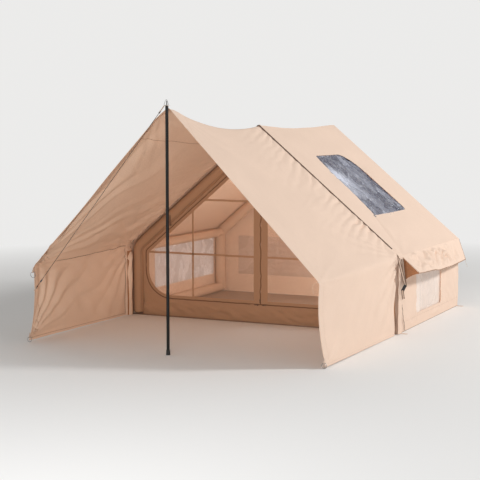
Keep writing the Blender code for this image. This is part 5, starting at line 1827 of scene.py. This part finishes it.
for word in ("key", "fill"):
    lamp = addLamp(word, "AREA")
    lamp.data.size = light[word + "Size"]
    aim = Vector(light[word + "Aim"]) - Vector(light[word + "Place"])
    lamp.rotation_euler = aim.to_track_quat("-Z", "Y").to_euler()

# daylight that the thin cloth lets through, as one soft lamp in the cabin
cabinLamp = addLamp("cabin", "POINT")
cabinLamp.data.shadow_soft_size = light["cabinSize"]
cabinLamp.data.color = light["cabinColour"]
cabinLamp.visible_glossy = False
cabinLamp.visible_transmission = False

# the camera sees pale paper, and the tent is lit by a dimmer sky
world = bpy.data.worlds.new("softRoom")
bpy.context.scene.world = world
world.use_nodes = True
room = NodeTree(world.node_tree)
sky = room.tree.nodes["Background"]
room.feed(sky.inputs["Color"], (*light["skyColour"], 1))
room.feed(sky.inputs["Strength"], light["skyGlow"])
paper = {"Color": (*light["paper"], 1), "Strength": light["paperGlow"]}
backdrop = room.node("ShaderNodeBackground", {}, paper)
rays = room.node("ShaderNodeLightPath")
seen = room.signal(rays, "Is Camera Ray")
for word in ("Transmission", "Glossy"):
    seen = room.maths("MAXIMUM", seen, room.signal(rays, "Is " + word + " Ray"))
choose = room.node("ShaderNodeMixShader", {}, {0: seen, 1: room.signal(sky),
                                               2: room.signal(backdrop)})
room.feed(room.tree.nodes["World Output"].inputs["Surface"], room.signal(choose))

floor = addShape(bpy.ops.mesh.primitive_circle_add, "studioFloor", vertices=96, radius=60,
                 fill_type="NGON")
floorFinish = Finish("paleFloor", light["floorColour"], 0.9)
where = floorFinish.place()
floorFinish.set(roughness=0.85 + floorFinish.noise(where, 3.0, 2.0) * 0.1)
glow = floorFinish.node("ShaderNodeEmission", {}, paper)
# far from the tent the floor runs over into the backdrop
x, y, _ = floorFinish.parts(where)
fade = (floorFinish.maths("SQRT", x * x + y * y) - light["fadeFrom"]) / light["fadeOver"]
fade = floorFinish.maths("MINIMUM", floorFinish.maths("MAXIMUM", fade, 0.0), 1.0)
mixer = floorFinish.node("ShaderNodeMixShader", {}, {0: fade,
                                                     1: floorFinish.signal(floorFinish.shader),
                                                     2: floorFinish.signal(glow)})
floorFinish.feed(floorFinish.tree.nodes["Material Output"].inputs["Surface"],
                 floorFinish.signal(mixer))
finishWith(floor, floorFinish.material)
print("tent: studio set")


# CAD pieces that stay get their own finish
kept = {"black_steel": poleSteel, "bright_steel": ringSteel, "rubber": footRubber,
        "plastic": greyPlastic, "webbing": webCloth, "zip": sliderMetal, "cord": ropeFinish,
        "clear_film": windowFilm, "door_mesh": netCloth, "canvas": outerCloth,
        "canopy_canvas": outerCloth, "sleeve_canvas": sleeveCloth, "floor_sheet": floorCloth}
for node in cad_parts.values():
    for holder in node.material_slots:
        word = holder.material.name.split(".")[0] if holder.material else ""
        for key, material in kept.items():
            if key in word:
                holder.material = material
                break
